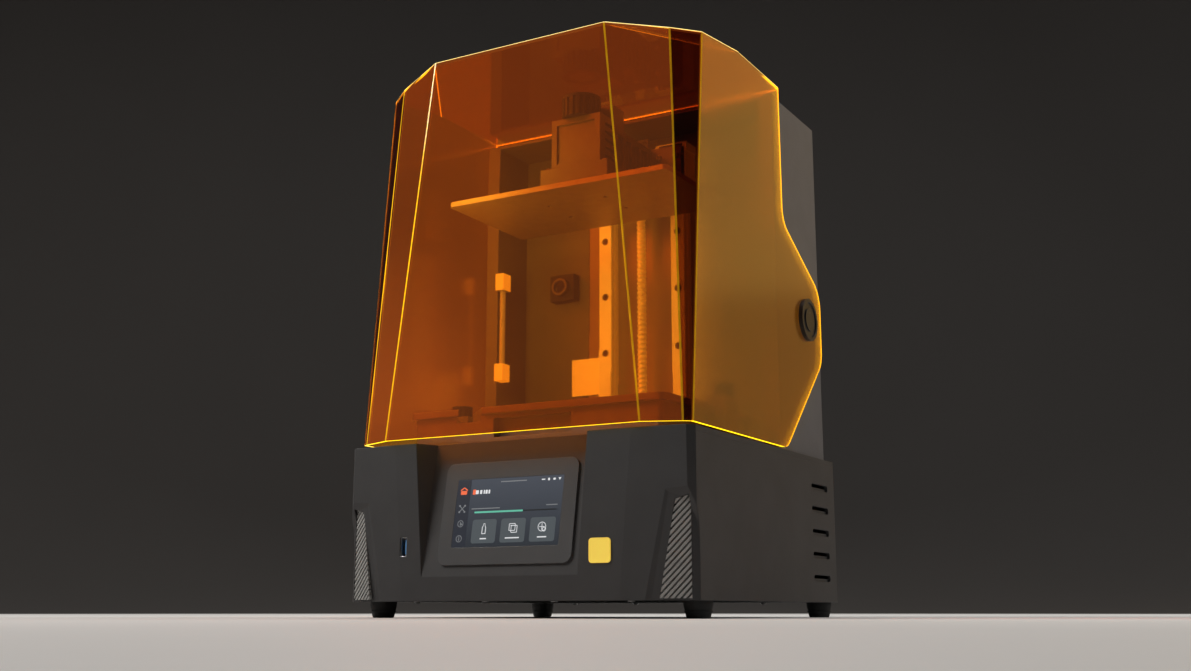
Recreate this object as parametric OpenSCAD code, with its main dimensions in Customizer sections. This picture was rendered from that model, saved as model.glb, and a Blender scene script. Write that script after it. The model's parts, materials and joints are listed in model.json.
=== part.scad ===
// Desktop resin printer: a charcoal base with a touch screen, a grey tower that
// carries the lift, and a tinted tip-up hood over the vat.
// X runs to the right, Y to the back and Z up; the origin is on the ground,
// under the middle of the hood and the base.

/* [Base] */
// Width of the base over its side covers
base_w = 344; // [330:1:380]
// Depth of the base from the fascia to the rear panel
base_d = 326.5; // [310:0.5:360]
// Height of the base housing above its feet
base_h = 136.5; // [125:0.5:160]
// Thickness of the fascia's moulded wall
fascia_t = 3; // [2:0.5:4]
// Thickness of the sheet side covers
cover_t = 3.5; // [2:0.5:4]
// Thickness of the rear panel
rear_t = 3; // [2:0.5:5]
// Thickness of the floor pan
pan_t = 3; // [2:0.5:5]
// Thickness of the deck plate
deck_t = 5; // [4:0.5:8]
// Depth of the fascia's top lip in front of the deck plate
lip_d = 31; // [26:0.5:36]
// Width of the bevel on the fascia's front corners
corner_bevel = 5.5; // [3:0.5:8]
// Distance from the base's side to the fascia's facet crease at its top
crease_top_x = 53.5; // [50:0.5:58]
// Distance from the base's side to the fascia's facet crease at its foot
crease_foot_x = 64.5; // [60:0.5:68]
// Angle at which the fascia's outer facets turn back
facet_turn = 3.5; // [2:0.1:6]

/* [Feet] */
// Height of a foot
foot_h = 14; // [10:1:20]
// Diameter of a foot where it meets the base
foot_top_dia = 24; // [20:1:30]
// Diameter of a foot at the ground
foot_tip_dia = 19.5; // [15:0.5:20]
// Distance from the base's side to a foot's centre
foot_side = 14.5; // [14:0.5:30]
// Distance from the fascia to a front foot's centre
foot_front = 39.5; // [30:0.5:50]
// Distance from the rear panel to a rear foot's centre
foot_rear = 13; // [13:1:40]

/* [Screen pocket] */
// Height of the pocket's lower edge above the base's underside
pocket_rise = 20.5; // [16:0.5:30]
// Angle at which the pocket's floor leans back
pocket_tilt = 9.5; // [6:0.5:12]
// Distance from the middle to the pocket's left edge at its foot
pocket_left = 86.5; // [84:0.5:90]
// Distance from the middle to the pocket's right edge at its foot
pocket_right = 69; // [66:0.5:74]
// Outward lean of the pocket's side walls
pocket_flare = 4.5; // [0:0.5:6]
// Draft of the pocket's side walls, inward with depth
pocket_draft = 25; // [5:1:35]
// Width of the touch screen's glass
screen_w = 133.5; // [120:0.5:136]
// Height of the touch screen's glass
screen_h = 89; // [80:1:95]
// Thickness of the touch screen's glass
screen_t = 1.8; // [1.2:0.1:2.4]
// Corner radius of the touch screen's glass
screen_r = 8; // [3:1:12]
// Distance of the screen's centre to the left of the middle
screen_shift = 4; // [0:0.5:8]
// Distance from the pocket's lower edge to the screen, along the floor
screen_lift = 9.5; // [6:0.5:12]
// Width of the lit area
display_w = 107; // [100:1:112]
// Height of the lit area
display_h = 59.5; // [50:0.5:66]

/* [Front details] */
// Distance of the data socket to the left of the middle
usb_x = 106.5; // [102:0.5:112]
// Height of the data socket's centre above the base's underside
usb_rise = 46.5; // [35:0.5:70]
// Width of the square badge plate
badge_w = 20; // [16:1:22]
// Distance of the badge's centre to the right of the middle
badge_x = 90; // [88:0.5:93]
// Height of the badge's centre above the base's underside
badge_rise = 39.5; // [30:0.5:50]
// Depth by which the side covers stand back beside a grille recess
recess_d = 5; // [3:0.5:6]
// Height of a grille recess above the base's underside at its inner top
recess_h = 91; // [80:1:96]
// Distance from the base's side to a recess's inner edge, at its foot
recess_x = 46.5; // [42:0.5:50]
// Lean of a recess's inner edge away from the middle
recess_lean = 10.8; // [6:0.2:12]
// Angle at which a grille's face turns back towards the corner
grille_turn = 18.8; // [14:0.2:22]
// Pitch of the grille's slats
slat_pitch = 3.4; // [3.2:0.1:6]
// Width of a grille slat
slat_w = 1.9; // [1.4:0.1:2.4]

/* [Side vents] */
// Number of vent slots in each side cover
vent_count = 5; // [3:1:5]
// Pitch of the vent slots
vent_pitch = 21.5; // [18:0.1:22]
// Length of a vent slot
vent_l = 44; // [30:1:60]
// Height of a vent slot
vent_h = 6; // [4:0.5:8]
// Distance from the rear panel to the middle of the vents
vent_rear = 40; // [35:1:60]

/* [Tower] */
// Width of the tower
tower_w = 326.5; // [316:0.5:330]
// Depth of the tower from its open front to its back
tower_d = 119; // [112:1:136]
// Thickness of the tower's sheet walls
tower_t = 3; // [2:0.5:4]
// Width of each front pillar
pillar_w = 14; // [10:1:18]
// Depth of the closed space behind the rails
spine_d = 62.5; // [60:0.5:68]
// Distance that the tower's back stands in from the rear panel
tower_inset = 1.5; // [0:0.5:8]
// Height of the tower above the lifted platform's knob
tower_head = 3; // [2:0.5:10]

/* [Lift] */
// Travel of the build platform
lift_travel = 238; // [200:1:260]
// Thickness of the plate that the rails are bolted to
spine_t = 8; // [6:0.5:12]
// Width of that plate
spine_w = 140; // [130:1:160]
// Distance between the two rails' centres
rail_gap = 85; // [80:1:95]
// Width of a rail
rail_w = 15; // [15:1:15]
// Height of a rail off its plate
rail_h = 15; // [15:1:15]
// Pitch of a rail's bolt holes
rail_pitch = 60; // [60:1:60]
// Width of a carriage
carriage_w = 34; // [32:1:38]
// Length of a carriage
carriage_l = 61.4; // [55:0.2:66]
// Distance from the rail plate to a carriage's front face
carriage_h = 28; // [26:0.5:30]
// Diameter of the ball screw
screw_dia = 10; // [8:1:12]
// Distance from the rail plate to the screw's axis
screw_off = 13; // [13:0.5:14]
// Width of the lift arm's beam
arm_w = 48; // [40:1:50]
// Height of the lift arm's beam
arm_h = 47; // [42:1:52]

/* [Platform] */
// Width of the build platform
platform_w = 235; // [225:1:236]
// Depth of the build platform
platform_d = 131; // [125:1:132]
// Thickness of the build platform
platform_t = 5; // [4:0.5:8]
// Distance from the rails' plate to the middle of the platform and the vat
platform_back = 125; // [122:0.5:128]
// Height of the mounting block between the platform and the arm
block_h = 30; // [25:1:36]
// Width of the mounting block
block_w = 74; // [66:1:84]
// Diameter of the platform's clamping knob
knob_dia = 38; // [34:1:40]
// Height of the platform's clamping knob
knob_h = 21.5; // [18:0.5:24]
// Distance from the platform's middle forward to the knob's axis
knob_front = 13; // [11:0.5:14]

/* [Vat] */
// Width of the vat
vat_w = 264; // [258:1:268]
// Depth of the vat
vat_d = 192; // [186:1:193]
// Height of the vat
vat_h = 33; // [28:1:34]
// Clearance between the platform and the vat's inner walls
vat_clear = 5; // [3:0.5:5]
// Thickness of the release film
film_t = 0.4; // [0.3:0.1:1]
// Distance that the vat reaches in front of the platform
vat_front = 36.5; // [30:0.5:38]
// Diameter of a vat clamp's thumb screw
clamp_dia = 20; // [16:1:20]

/* [Hood] */
// Thickness of the hood's tinted sheet
sheet_t = 3; // [2:0.5:4]
// Overhang of the hood past the fascia
hood_over = 3; // [1:0.5:8]
// Gap between the deck and the hood's lower edge
hood_lift = 4; // [1.5:0.5:5]
// Gap between the hood's sides and the tower
hood_side_gap = 0.75; // [0.5:0.25:4]
// Gap between the tower's top and the hood
hood_top_gap = 8; // [6:0.5:10]
// Overlap of the hood's roof over the tower
hood_roof_over = 15.5; // [8:0.5:20]
// Half width of the front pane at its foot
pane_foot_x = 128; // [120:1:134]
// Distance from the side at which the narrow facet starts, at its foot
facet_in = 7; // [4:0.5:10]
// Backward lean of the front pane
pane_lean = 1.6; // [0:0.1:3]
// Turn of the broad corner pane
corner_turn = 22.9; // [18:0.1:26]
// Backward lean of the broad corner pane
corner_lean = 3.8; // [3:0.1:5]
// Turn of the narrow facet
narrow_turn = 35.5; // [32:0.1:40]
// Backward lean of the narrow facet
narrow_lean = 4.0; // [3.6:0.1:5]
// Turn of the crown facet between the roof and the corner
crown_turn = 56.4; // [50:0.2:60]
// Fall of the crown facet from level
crown_fall = 15.1; // [10:0.1:18]
// Distance from the hood's front to the crown facet's rear end
crown_d = 125.5; // [110:0.5:140]
// Diameter of the hinge's round cap
hinge_cap_dia = 42; // [36:1:48]
// Diameter of the hinge pin
hinge_pin_dia = 14; // [10:1:16]
// Height of the hinge's axis above the deck
hinge_rise = 136.4; // [125:0.2:145]
// Distance from the tower's front to the hinge's axis
hinge_back = 73.3; // [68:0.1:80]

/* [Hidden] */
$fn = 64;

// Larger than the whole machine: the reach of a cutting half space
big = 900;
// Overshoot of a cut past the face that it opens
eps = 1;
// Radial running clearance of a shaft in its bore
run_gap = 0.05;
// Clearance between pieces that slide past each other
slide_gap = 0.3;
// Radial clearance of a bolt or plug in its hole
bolt_gap = 0.2;

// Levels and main planes of the base
total_d = base_d + hood_over;
front_y = -total_d / 2 + hood_over;
rear_y = total_d / 2;
base_z = foot_h;
deck_z = base_z + base_h;
deck_y = front_y + lip_d;
side_x = base_w / 2;
cover_front_y = front_y + (crease_top_x - corner_bevel) * tan(facet_turn) + corner_bevel;
crease_run = (crease_foot_x - crease_top_x) / base_h;
flat_top_x = side_x - crease_top_x;
flat_foot_x = side_x - crease_foot_x;
facet_tilt = asin(sin(facet_turn) * crease_run);

// Grille recess: its upper edge rises outward, its flanks are soft slopes, and
// its floor turns back towards the corner
recess_foot_x = side_x - recess_x;
recess_top_slope = 16;
recess_flank = 19.6;
recess_top_flank = 18.4;
recess_floor_d = 3;
recess_floor_run = recess_floor_d / tan(recess_flank);
recess_floor_turn = 10;

// Grille: a wedge that stands out of the recess at its inner edge
grille_corner = 4.2;
grille_rim = 0.8;
grille_foot = 1.5;
grille_inset = 8.8;
grille_top_gap = 12.6;
grille_lean = 9.1;
grille_margin = 1.2;
grille_t = 5.5;
grille_frame_t = 1.5;
slat_turn = 48;

// Tower, spine and lift
tower_x = tower_w / 2;
tower_back_y = rear_y - tower_inset;
tower_front_y = tower_back_y - tower_d;
bay_x = tower_x - pillar_w;
spine_y = tower_back_y - spine_d;
mid_y = spine_y - platform_back;
film_z = deck_z + film_t;
low_gap = 1.1;
platform_z = film_z + low_gap + lift_travel;
block_z = platform_z + platform_t;
arm_z = block_z + block_h;
arm_top_z = arm_z + arm_h;
cap_plate_t = 3;
knob_z = arm_top_z + cap_plate_t + slide_gap;
knob_top_z = knob_z + knob_h;
tower_z = knob_top_z + tower_head;
carriage_y = spine_y - carriage_h;
carriage_foot = 4.3;
arm_plate_t = 8;
arm_plate_y = carriage_y - arm_plate_t;
carriage_z = arm_top_z - (carriage_l + arm_h) / 2 - 1;
rail_z = carriage_z - lift_travel - slide_gap - 0.4;
rail_holes = floor((lift_travel + carriage_l) / rail_pitch);
rail_l = (rail_holes + 0.5) * rail_pitch < lift_travel + carriage_l + 2
    ? (rail_holes + 1) * rail_pitch : (rail_holes + 0.5) * rail_pitch;
rail_first = (rail_l - floor(rail_l / rail_pitch - 0.5) * rail_pitch) / 2;
screw_y = spine_y - screw_off;
shaft_dia = 5;
motor_w = 42.3;
motor_h = 40;
motor_boss_dia = 22;
motor_boss_h = 2;
motor_top_z = deck_z - deck_t;
coupling_dia = 20;
coupling_l = 24;
coupling_z = deck_z + 5;
bearing_l = 10;
bearing_z = rail_z + rail_l + 2;
nut_dia = 20;
nut_l = 32;
nut_flange_dia = 24;
nut_flange_t = 6;
nut_z = arm_z + 6;

// Platform block and knob
block_d = 70;
block_front = 28;
box_t = 3;
box_x = arm_w / 2 + box_t;
box_front_y = mid_y - 24;
knob_y = mid_y - knob_front;
box_back_y = knob_y + knob_dia / 2 + 2;
stem_dia = 8;
stem_l = 30;
hump_d = 22;

// Vat
vat_z = film_z;
vat_top_z = vat_z + vat_h;
vat_front_y = mid_y - platform_d / 2 - vat_front;
vat_back_y = vat_front_y + vat_d;
vat_rim_t = 6;
vat_rim_over = 4;
vat_wall = 9.5;
bath_x = vat_w / 2 - vat_wall;
bath_front_y = mid_y - platform_d / 2 - vat_clear;
bath_back_y = mid_y + platform_d / 2 + vat_clear;
clamp_y = mid_y - 6;
clamp_w = 26;
clamp_t = 13;
clamp_gap = 1.5;
clamp_rise = 8;
clamp_top_z = vat_top_z + clamp_rise;

// Exposure screen in the deck
lcd_x = 120;
lcd_d = 146;
lcd_t = 3;

// Hood
hood_x = tower_x + hood_side_gap + sheet_t;
hood_front_y = -total_d / 2;
hood_z = deck_z + hood_lift;
hood_top_z = tower_z + hood_top_gap + sheet_t;
hood_back_y = tower_front_y + hood_roof_over;
hinge_y = tower_front_y + hinge_back;
hinge_z = deck_z + hinge_rise;
corner_run = hood_x - facet_in - pane_foot_x;
pane_face = [[0, hood_front_y, hood_z], [-pane_lean, 0, 0]];
corner_face = [[pane_foot_x, hood_front_y, hood_z], [-corner_lean, 0, corner_turn]];
narrow_face = [[hood_x - facet_in, hood_front_y + corner_run * tan(corner_turn), hood_z],
    [-narrow_lean, 0, narrow_turn]];
side_face = [[hood_x, 0, hood_z], [0, 0, 90]];
crown_face = [[hood_x, hood_front_y + crown_d, hood_top_z], [crown_fall - 90, 0, crown_turn]];
roof_face = [[0, 0, hood_top_z], [-90, 0, 0]];
pin_flange_dia = 24;
pin_flange_t = 4;
pin_reach = 5;
cap_proud = 4;
cap_hub_dia = 24;

// Rear panel fittings
fan_w = 80;
fan_t = 25;
fan_rise = 72;
fan_in = 102;
fan_x = fan_in - side_x;
fan_z = base_z + fan_rise;
fan_bore = 76;
inlet_in = 67;
inlet_x = side_x - inlet_in;
inlet_z = base_z + 42;
inlet_w = 27;
inlet_h = 20;
inlet_d = 22;
switch_z = inlet_z + 36;
switch_w = 21;
switch_h = 15;
switch_d = 14;

// Colours
charcoal = [0.17, 0.17, 0.17];
tower_grey = [0.27, 0.27, 0.28];
amber = [0.85, 0.45, 0.05, 0.45];
steel = [0.75, 0.75, 0.76];
alloy = [0.62, 0.62, 0.64];
black = [0.06, 0.06, 0.06];

// ---------------------------------------------------------------- helpers

// Everything more than d behind a face; a face is a point and a rotation
// that carries the +Y direction onto its inward normal
module behind(face, d = 0) {
    translate(face[0]) rotate(face[1]) translate([-big, d, -big]) cube(2 * big);
}

// Everything less than d behind a face
module before(face, d = 0) {
    translate(face[0]) rotate(face[1]) translate([-big, d - 2 * big, -big]) cube(2 * big);
}

// The same child on both sides of the middle plane
module both_sides() {
    children();
    mirror([1, 0, 0]) children();
}

// Points of a corner rounded to radius r between two neighbours
function unit(v) = v / norm(v);
function corner_arc(a, p, b, r, n) =
    let (u = unit(a - p), v = unit(b - p), half = acos(u * v) / 2,
        run = r / tan(half), mid = p + unit(u + v) * r / sin(half),
        s = p + u * run - mid, e = p + v * run - mid,
        turn = atan2(s[0] * e[1] - s[1] * e[0], s * e))
    [for (i = [0:n]) let (t = turn * i / n)
        mid + [s[0] * cos(t) - s[1] * sin(t), s[0] * sin(t) + s[1] * cos(t)]];

// Outline through the corners [x, y, radius], each rounded to its radius
function rounded(pts, n = 8) =
    [for (i = [0:len(pts) - 1])
        let (p = pts[i], a = pts[(i + len(pts) - 1) % len(pts)], b = pts[(i + 1) % len(pts)],
            arc = p[2] == 0 ? [[p[0], p[1]]]
                : corner_arc([a[0], a[1]], [p[0], p[1]], [b[0], b[1]], p[2], n))
        each arc];

// Plate w by d, centred, with rounded corners
module rounded_plate(w, d, h, r) {
    linear_extrude(h)
        polygon(rounded([[-w / 2, -d / 2, r], [w / 2, -d / 2, r], [w / 2, d / 2, r], [-w / 2, d / 2, r]]));
}

// Extrudes a side outline, drawn as [y, z], from x0 to x1
module from_side(x0, x1) {
    translate([x0, 0, 0]) rotate([90, 0, 90]) linear_extrude(x1 - x0) children();
}

// Extrudes a front outline, drawn as [x, z], from y0 to y1
module from_front(y0, y1) {
    translate([0, y1, 0]) rotate([90, 0, 0]) linear_extrude(y1 - y0) children();
}

// ---------------------------------------------------------------- base

// Shallow tray with turned-up edges, foot bosses and motor-bay ribs
module base_pan() {
    pan_w = base_w - 2 * cover_t - 1;
    pan_y = cover_front_y + recess_d + 3;
    pan_d = rear_y - rear_t - slide_gap - pan_y;
    color(charcoal) difference() {
        translate([-pan_w / 2, pan_y, base_z]) cube([pan_w, pan_d, 14]);
        translate([-pan_w / 2 + pan_t, pan_y + pan_t, base_z + pan_t])
            cube([pan_w - 2 * pan_t, pan_d - 2 * pan_t, 14]);
        at_feet() translate([0, 0, base_z - eps]) cylinder(d = foot_bolt_dia + 2 * bolt_gap, h = 20);
        for (row = [0:5])
            for (column = [0:2])
                translate([-60 + column * 50, -20 + row * 12, base_z - eps])
                    cube([36, 4, pan_t + 2 * eps]);
    }
}

foot_bolt_dia = 5;
foot_collar = 3;

// Places the child at each of the four feet
module at_feet() {
    for (x = [foot_side - side_x, side_x - foot_side], y = [front_y + foot_front, rear_y - foot_rear])
        translate([x, y, 0]) children();
}

// Tapered rubber feet, each with a stem through the pan
module feet() {
    color(black) at_feet() {
        rotate_extrude() polygon([[0, 0], [foot_tip_dia / 2 - 1, 0], [foot_tip_dia / 2, 1],
            [foot_top_dia / 2, base_z - foot_collar], [foot_top_dia / 2, base_z],
            [foot_bolt_dia / 2, base_z], [foot_bolt_dia / 2, base_z + pan_t], [0, base_z + pan_t]]);
    }
}

// Pan-head screws that hold the covers and the pan from below
module pan_screws() {
    color(steel) for (x = [-0.62, -0.2, 0.2, 0.62], y = [front_y + 22, rear_y - 30])
        translate([x * side_x, y, base_z])
            rotate_extrude() polygon([[0, -1.6], [2, -1.6], [3, -0.6], [3, 0], [0, 0]]);
}

// Side outline of a cover: its front edge steps back beside the grille recess
module cover_outline() {
    polygon([[cover_front_y, deck_z - deck_t], [cover_front_y, base_z + recess_h + 7],
        [cover_front_y + recess_d, base_z + recess_h - 2], [cover_front_y + recess_d, base_z],
        [rear_y, base_z], [rear_y, deck_z - deck_t]]);
}

// Outer form of the front moulding, set back and inset
module fascia_form(set_back, inset) {
    y = front_y + set_back + inset;
    depth = lip_d - set_back - inset;
    difference() {
        translate([-side_x + inset, y, base_z]) cube([base_w - 2 * inset, depth, base_h - inset]);
        both_sides() {
            before([[flat_top_x, front_y + set_back, deck_z], [facet_tilt, 0, facet_turn]], inset);
            before([[side_x, cover_front_y + set_back, 0], [0, 0, 45]], inset);
        }
    }
}

// Moves the child onto a recess's floor at its foot: X along the floor, -Y outward
module on_recess_floor() {
    translate([recess_foot_x + recess_floor_run, front_y + recess_floor_d, base_z])
        rotate([0, recess_lean, 0]) rotate([0, 0, recess_floor_turn]) children();
}

// Wedge that a grille recess takes out of the right-hand facet, with a bevelled corner
module recess_cut() {
    intersection() {
        translate([recess_foot_x, front_y, base_z]) rotate([0, recess_lean, 0])
            rotate([0, 0, recess_flank]) translate([0, -big, -big]) cube([big, big, 2 * big]);
        translate([recess_foot_x + recess_h * tan(recess_lean), front_y, base_z + recess_h])
            rotate([0, -recess_top_slope, 0]) rotate([recess_top_flank, 0, 0])
            translate([-big, -big, -big]) cube([2 * big, big, big]);
        union() {
            on_recess_floor() translate([-big, -big, -big]) cube([2 * big, big, 2 * big]);
            before([[side_x, cover_front_y + recess_d, 0], [0, 0, 45]]);
        }
    }
}

// Wedge-shaped screen pocket, open at the top; grow widens it for its wall
module screen_pocket(grow = 0) {
    pocket_z = base_z + pocket_rise;
    difference() {
        translate([-side_x, front_y - 5, pocket_z - grow]) cube([base_w, 60, base_h]);
        behind([[0, front_y, pocket_z], [-pocket_tilt, 0, 0]], grow);
        translate([-pocket_left, front_y, pocket_z]) rotate([0, -pocket_flare, 0])
            rotate([0, 0, -pocket_draft]) translate([-big - grow, -big, -big]) cube([big, 2 * big, 2 * big]);
        translate([pocket_right, front_y, pocket_z]) rotate([0, pocket_flare, 0])
            rotate([0, 0, pocket_draft]) translate([grow, -big, -big]) cube([big, 2 * big, 2 * big]);
    }
}

// Moves the child onto the pocket's floor: X across, Z up the slope, -Y outward
module on_pocket_floor() {
    translate([0, front_y, base_z + pocket_rise]) rotate([-pocket_tilt, 0, 0]) children();
}

usb_w = 7.2;
usb_h = 17.2;
usb_z = base_z + usb_rise;

// Moulded front with facets, screen pocket, grille recesses and bevelled corners
module front_fascia() {
    color(charcoal) difference() {
        union() {
            difference() {
                difference() {
                    fascia_form(0, 0);
                    both_sides() recess_cut();
                }
                // hollow of the moulding, open to the back
                translate([0, eps, 0]) fascia_form(recess_d, fascia_t);
                intersection() {
                    fascia_form(0, fascia_t);
                    translate([-flat_foot_x, front_y, base_z + fascia_t])
                        cube([2 * flat_foot_x, lip_d, base_h]);
                }
                translate([-side_x + fascia_t, cover_front_y + recess_d + 4, base_z - eps])
                    cube([base_w - 2 * fascia_t, lip_d, base_h - fascia_t + eps]);
                // side returns end where the covers begin
                both_sides() from_side(side_x - cover_t - slide_gap, side_x + eps) cover_outline();
            }
            intersection() {
                fascia_form(0, 0);
                screen_pocket(fascia_t);
            }
        }
        screen_pocket();
        // window behind the touch screen
        on_pocket_floor() translate([-screen_shift - screen_w / 2 + 5, -eps, screen_lift + 5])
            cube([screen_w - 10, 20, screen_h - 10]);
        // data socket
        from_front(front_y - eps, front_y + 12) translate([-usb_x, usb_z]) polygon(rounded(
            [[-usb_w / 2, -usb_h / 2, 1.2], [usb_w / 2, -usb_h / 2, 1.2],
            [usb_w / 2, usb_h / 2, 1.2], [-usb_w / 2, usb_h / 2, 1.2]], 4));
        // openings behind the grilles
        both_sides() grille_panel(-10, 10 + grille_t + 4, 0);
    }
}

// Right-hand grille outline: front view corners, inset by a margin
function grille_corners(m) =
    let (foot_z = base_z + grille_foot + m, top_z = base_z + recess_h - grille_top_gap - m,
        in_x = recess_foot_x + recess_floor_run + grille_inset + m,
        in_top_x = in_x + (top_z - foot_z) * tan(grille_lean),
        out_x = side_x - grille_corner - grille_rim - m)
    [[in_x, foot_z], [out_x, foot_z],
        [out_x, top_z + (out_x - in_top_x) * tan(recess_top_slope)], [in_top_x, top_z]];

// Prism over the grille outline; y0 and t are measured from the grille's face
module grille_panel(y0, t, m) {
    intersection() {
        translate([side_x - grille_corner, cover_front_y + recess_d - grille_corner, 0])
            rotate([0, 0, grille_turn]) translate([-big / 2, y0, -big / 2]) cube([big, t, big]);
        from_front(front_y - 40, front_y + 60) polygon(grille_corners(m));
    }
}

// Slanted slats on a thin frame at their back; turn sets which way they lean
module grille(turn) {
    difference() {
        grille_panel(0, grille_t, run_gap);
        intersection() {
            union() {
                grille_panel(-5, 20, grille_margin);
                grille_panel(-5, 5 + grille_t - grille_frame_t, -1);
            }
            for (i = [-24:24])
                translate([side_x - recess_x / 2, front_y, base_z + recess_h / 2])
                    rotate([0, turn * slat_turn, 0]) translate([-100, -40, i * slat_pitch])
                    cube([200, 90, slat_pitch - slat_w]);
        }
    }
}

module grille_right() {
    color([0.62, 0.62, 0.6]) grille(-1);
}

module grille_left() {
    color([0.62, 0.62, 0.6]) mirror([1, 0, 0]) grille(1);
}

// Louvred side cover; made for the right side and mirrored for the left
module side_cover() {
    vent_y = rear_y - vent_rear;
    vent_mid_z = base_z + base_h / 2 - 3;
    end_r = vent_h / 2.2;
    difference() {
        from_side(side_x - cover_t, side_x) cover_outline();
        for (i = [0:vent_count - 1]) {
            z = vent_mid_z + (i - (vent_count - 1) / 2) * vent_pitch;
            from_side(side_x - cover_t - eps, side_x + eps) translate([vent_y, z])
                polygon(rounded([[-vent_l / 2, -vent_h / 2, end_r], [vent_l / 2, -vent_h / 2, end_r],
                    [vent_l / 2, vent_h / 2, end_r], [-vent_l / 2, vent_h / 2, end_r]], 6));
        }
    }
    // a sloping blade inside each slot keeps splashes out
    for (i = [0:vent_count - 1]) {
        z = vent_mid_z + (i - (vent_count - 1) / 2) * vent_pitch;
        from_side(side_x - cover_t, side_x - cover_t + 1.2) translate([vent_y, z])
            polygon([[-vent_l / 2 - 1, -vent_h / 2 - 1], [vent_l / 2 + 1, -vent_h / 2 - 1],
                [vent_l / 2 + 1, vent_h / 2 - 3.2], [-vent_l / 2 - 1, vent_h / 2 - 3.2]]);
    }
}

module side_cover_right() {
    color(charcoal) side_cover();
}

module side_cover_left() {
    color(charcoal) mirror([1, 0, 0]) side_cover();
}

// Flat rear panel with the fan grille and the cut-outs for inlet and switch
module rear_panel() {
    panel_w = base_w - 2 * cover_t - 2 * slide_gap;
    color(charcoal) difference() {
        translate([-panel_w / 2, rear_y - rear_t, base_z])
            cube([panel_w, rear_t, base_h - deck_t - slide_gap]);
        // rings of the fan grille, with four spokes left standing
        difference() {
            union() {
                for (ring = [0:4])
                    translate([fan_x, rear_y + eps, fan_z]) rotate([90, 0, 0]) difference() {
                        cylinder(r = 13 + ring * 6, h = rear_t + 2 * eps);
                        translate([0, 0, -eps]) cylinder(r = 9.5 + ring * 6, h = rear_t + 4 * eps);
                    }
            }
            for (a = [45, 135])
                translate([fan_x, rear_y, fan_z]) rotate([0, a, 0]) cube([100, 4 * rear_t, 3], center = true);
        }
        for (x = [-1, 1], z = [-1, 1])
            translate([fan_x + x * fan_bolt, rear_y + eps, fan_z + z * fan_bolt]) rotate([90, 0, 0])
                cylinder(d = fan_bolt_dia, h = rear_t + 2 * eps);
        translate([inlet_x - inlet_w / 2 - bolt_gap, rear_y - rear_t - eps, inlet_z - inlet_h / 2 - bolt_gap])
            cube([inlet_w + 2 * bolt_gap, rear_t + 2 * eps, inlet_h + 2 * bolt_gap]);
        translate([inlet_x - switch_w / 2 - bolt_gap, rear_y - rear_t - eps,
            switch_z - switch_h / 2 - bolt_gap])
            cube([switch_w + 2 * bolt_gap, rear_t + 2 * eps, switch_h + 2 * bolt_gap]);
    }
}

fan_bolt = 35.75;
fan_bolt_dia = 4.3;
fan_hub_dia = 30;
fan_pin_dia = 4;

// Square fan housing with a bearing tube on three struts
module fan_frame() {
    y = rear_y - rear_t;
    color(black) difference() {
        union() {
            difference() {
                translate([fan_x - fan_w / 2, y - fan_t, fan_z - fan_w / 2]) cube([fan_w, fan_t, fan_w]);
                translate([fan_x, y + eps, fan_z]) rotate([90, 0, 0])
                    cylinder(d = fan_bore, h = fan_t + 2 * eps);
            }
            translate([fan_x, y, fan_z]) rotate([90, 0, 0]) cylinder(d = fan_hub_dia, h = 3);
            translate([fan_x, y - 2, fan_z]) rotate([90, 0, 0]) cylinder(d = fan_pin_dia + 5, h = 9);
            for (a = [0, 120, 240])
                translate([fan_x, y - 1.5, fan_z]) rotate([0, a, 0]) translate([0, -1.5, -2])
                    cube([fan_bore / 2 + 0.6, 3, 4]);
        }
        translate([fan_x, y - 2, fan_z]) rotate([90, 0, 0]) cylinder(d = fan_pin_dia, h = fan_t);
        for (x = [-1, 1], z = [-1, 1])
            translate([fan_x + x * fan_bolt, y + eps, fan_z + z * fan_bolt]) rotate([90, 0, 0])
                cylinder(d = fan_bolt_dia, h = fan_t + 2 * eps);
    }
}

// Seven-bladed rotor on a cup hub, with its spindle in the frame's bearing
module fan_rotor() {
    y = rear_y - rear_t - 4;
    color(black) {
        difference() {
            translate([fan_x, y, fan_z]) rotate([90, 0, 0]) cylinder(d = fan_hub_dia, h = fan_t - 5);
            translate([fan_x, y + eps, fan_z]) rotate([90, 0, 0]) cylinder(d = fan_hub_dia - 4, h = fan_t - 8);
        }
        translate([fan_x, rear_y - rear_t - 3, fan_z]) rotate([90, 0, 0])
            cylinder(d = fan_pin_dia - 2 * run_gap, h = fan_t - 5);
        for (a = [0:360 / 7:359])
            translate([fan_x, y - fan_t / 2 + 2, fan_z]) rotate([0, a, 0]) rotate([35, 0, 0])
                translate([fan_hub_dia / 2 - 1, -0.9, -9]) cube([fan_bore / 2 - fan_hub_dia / 2 - 1, 1.8, 18]);
    }
}

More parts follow.
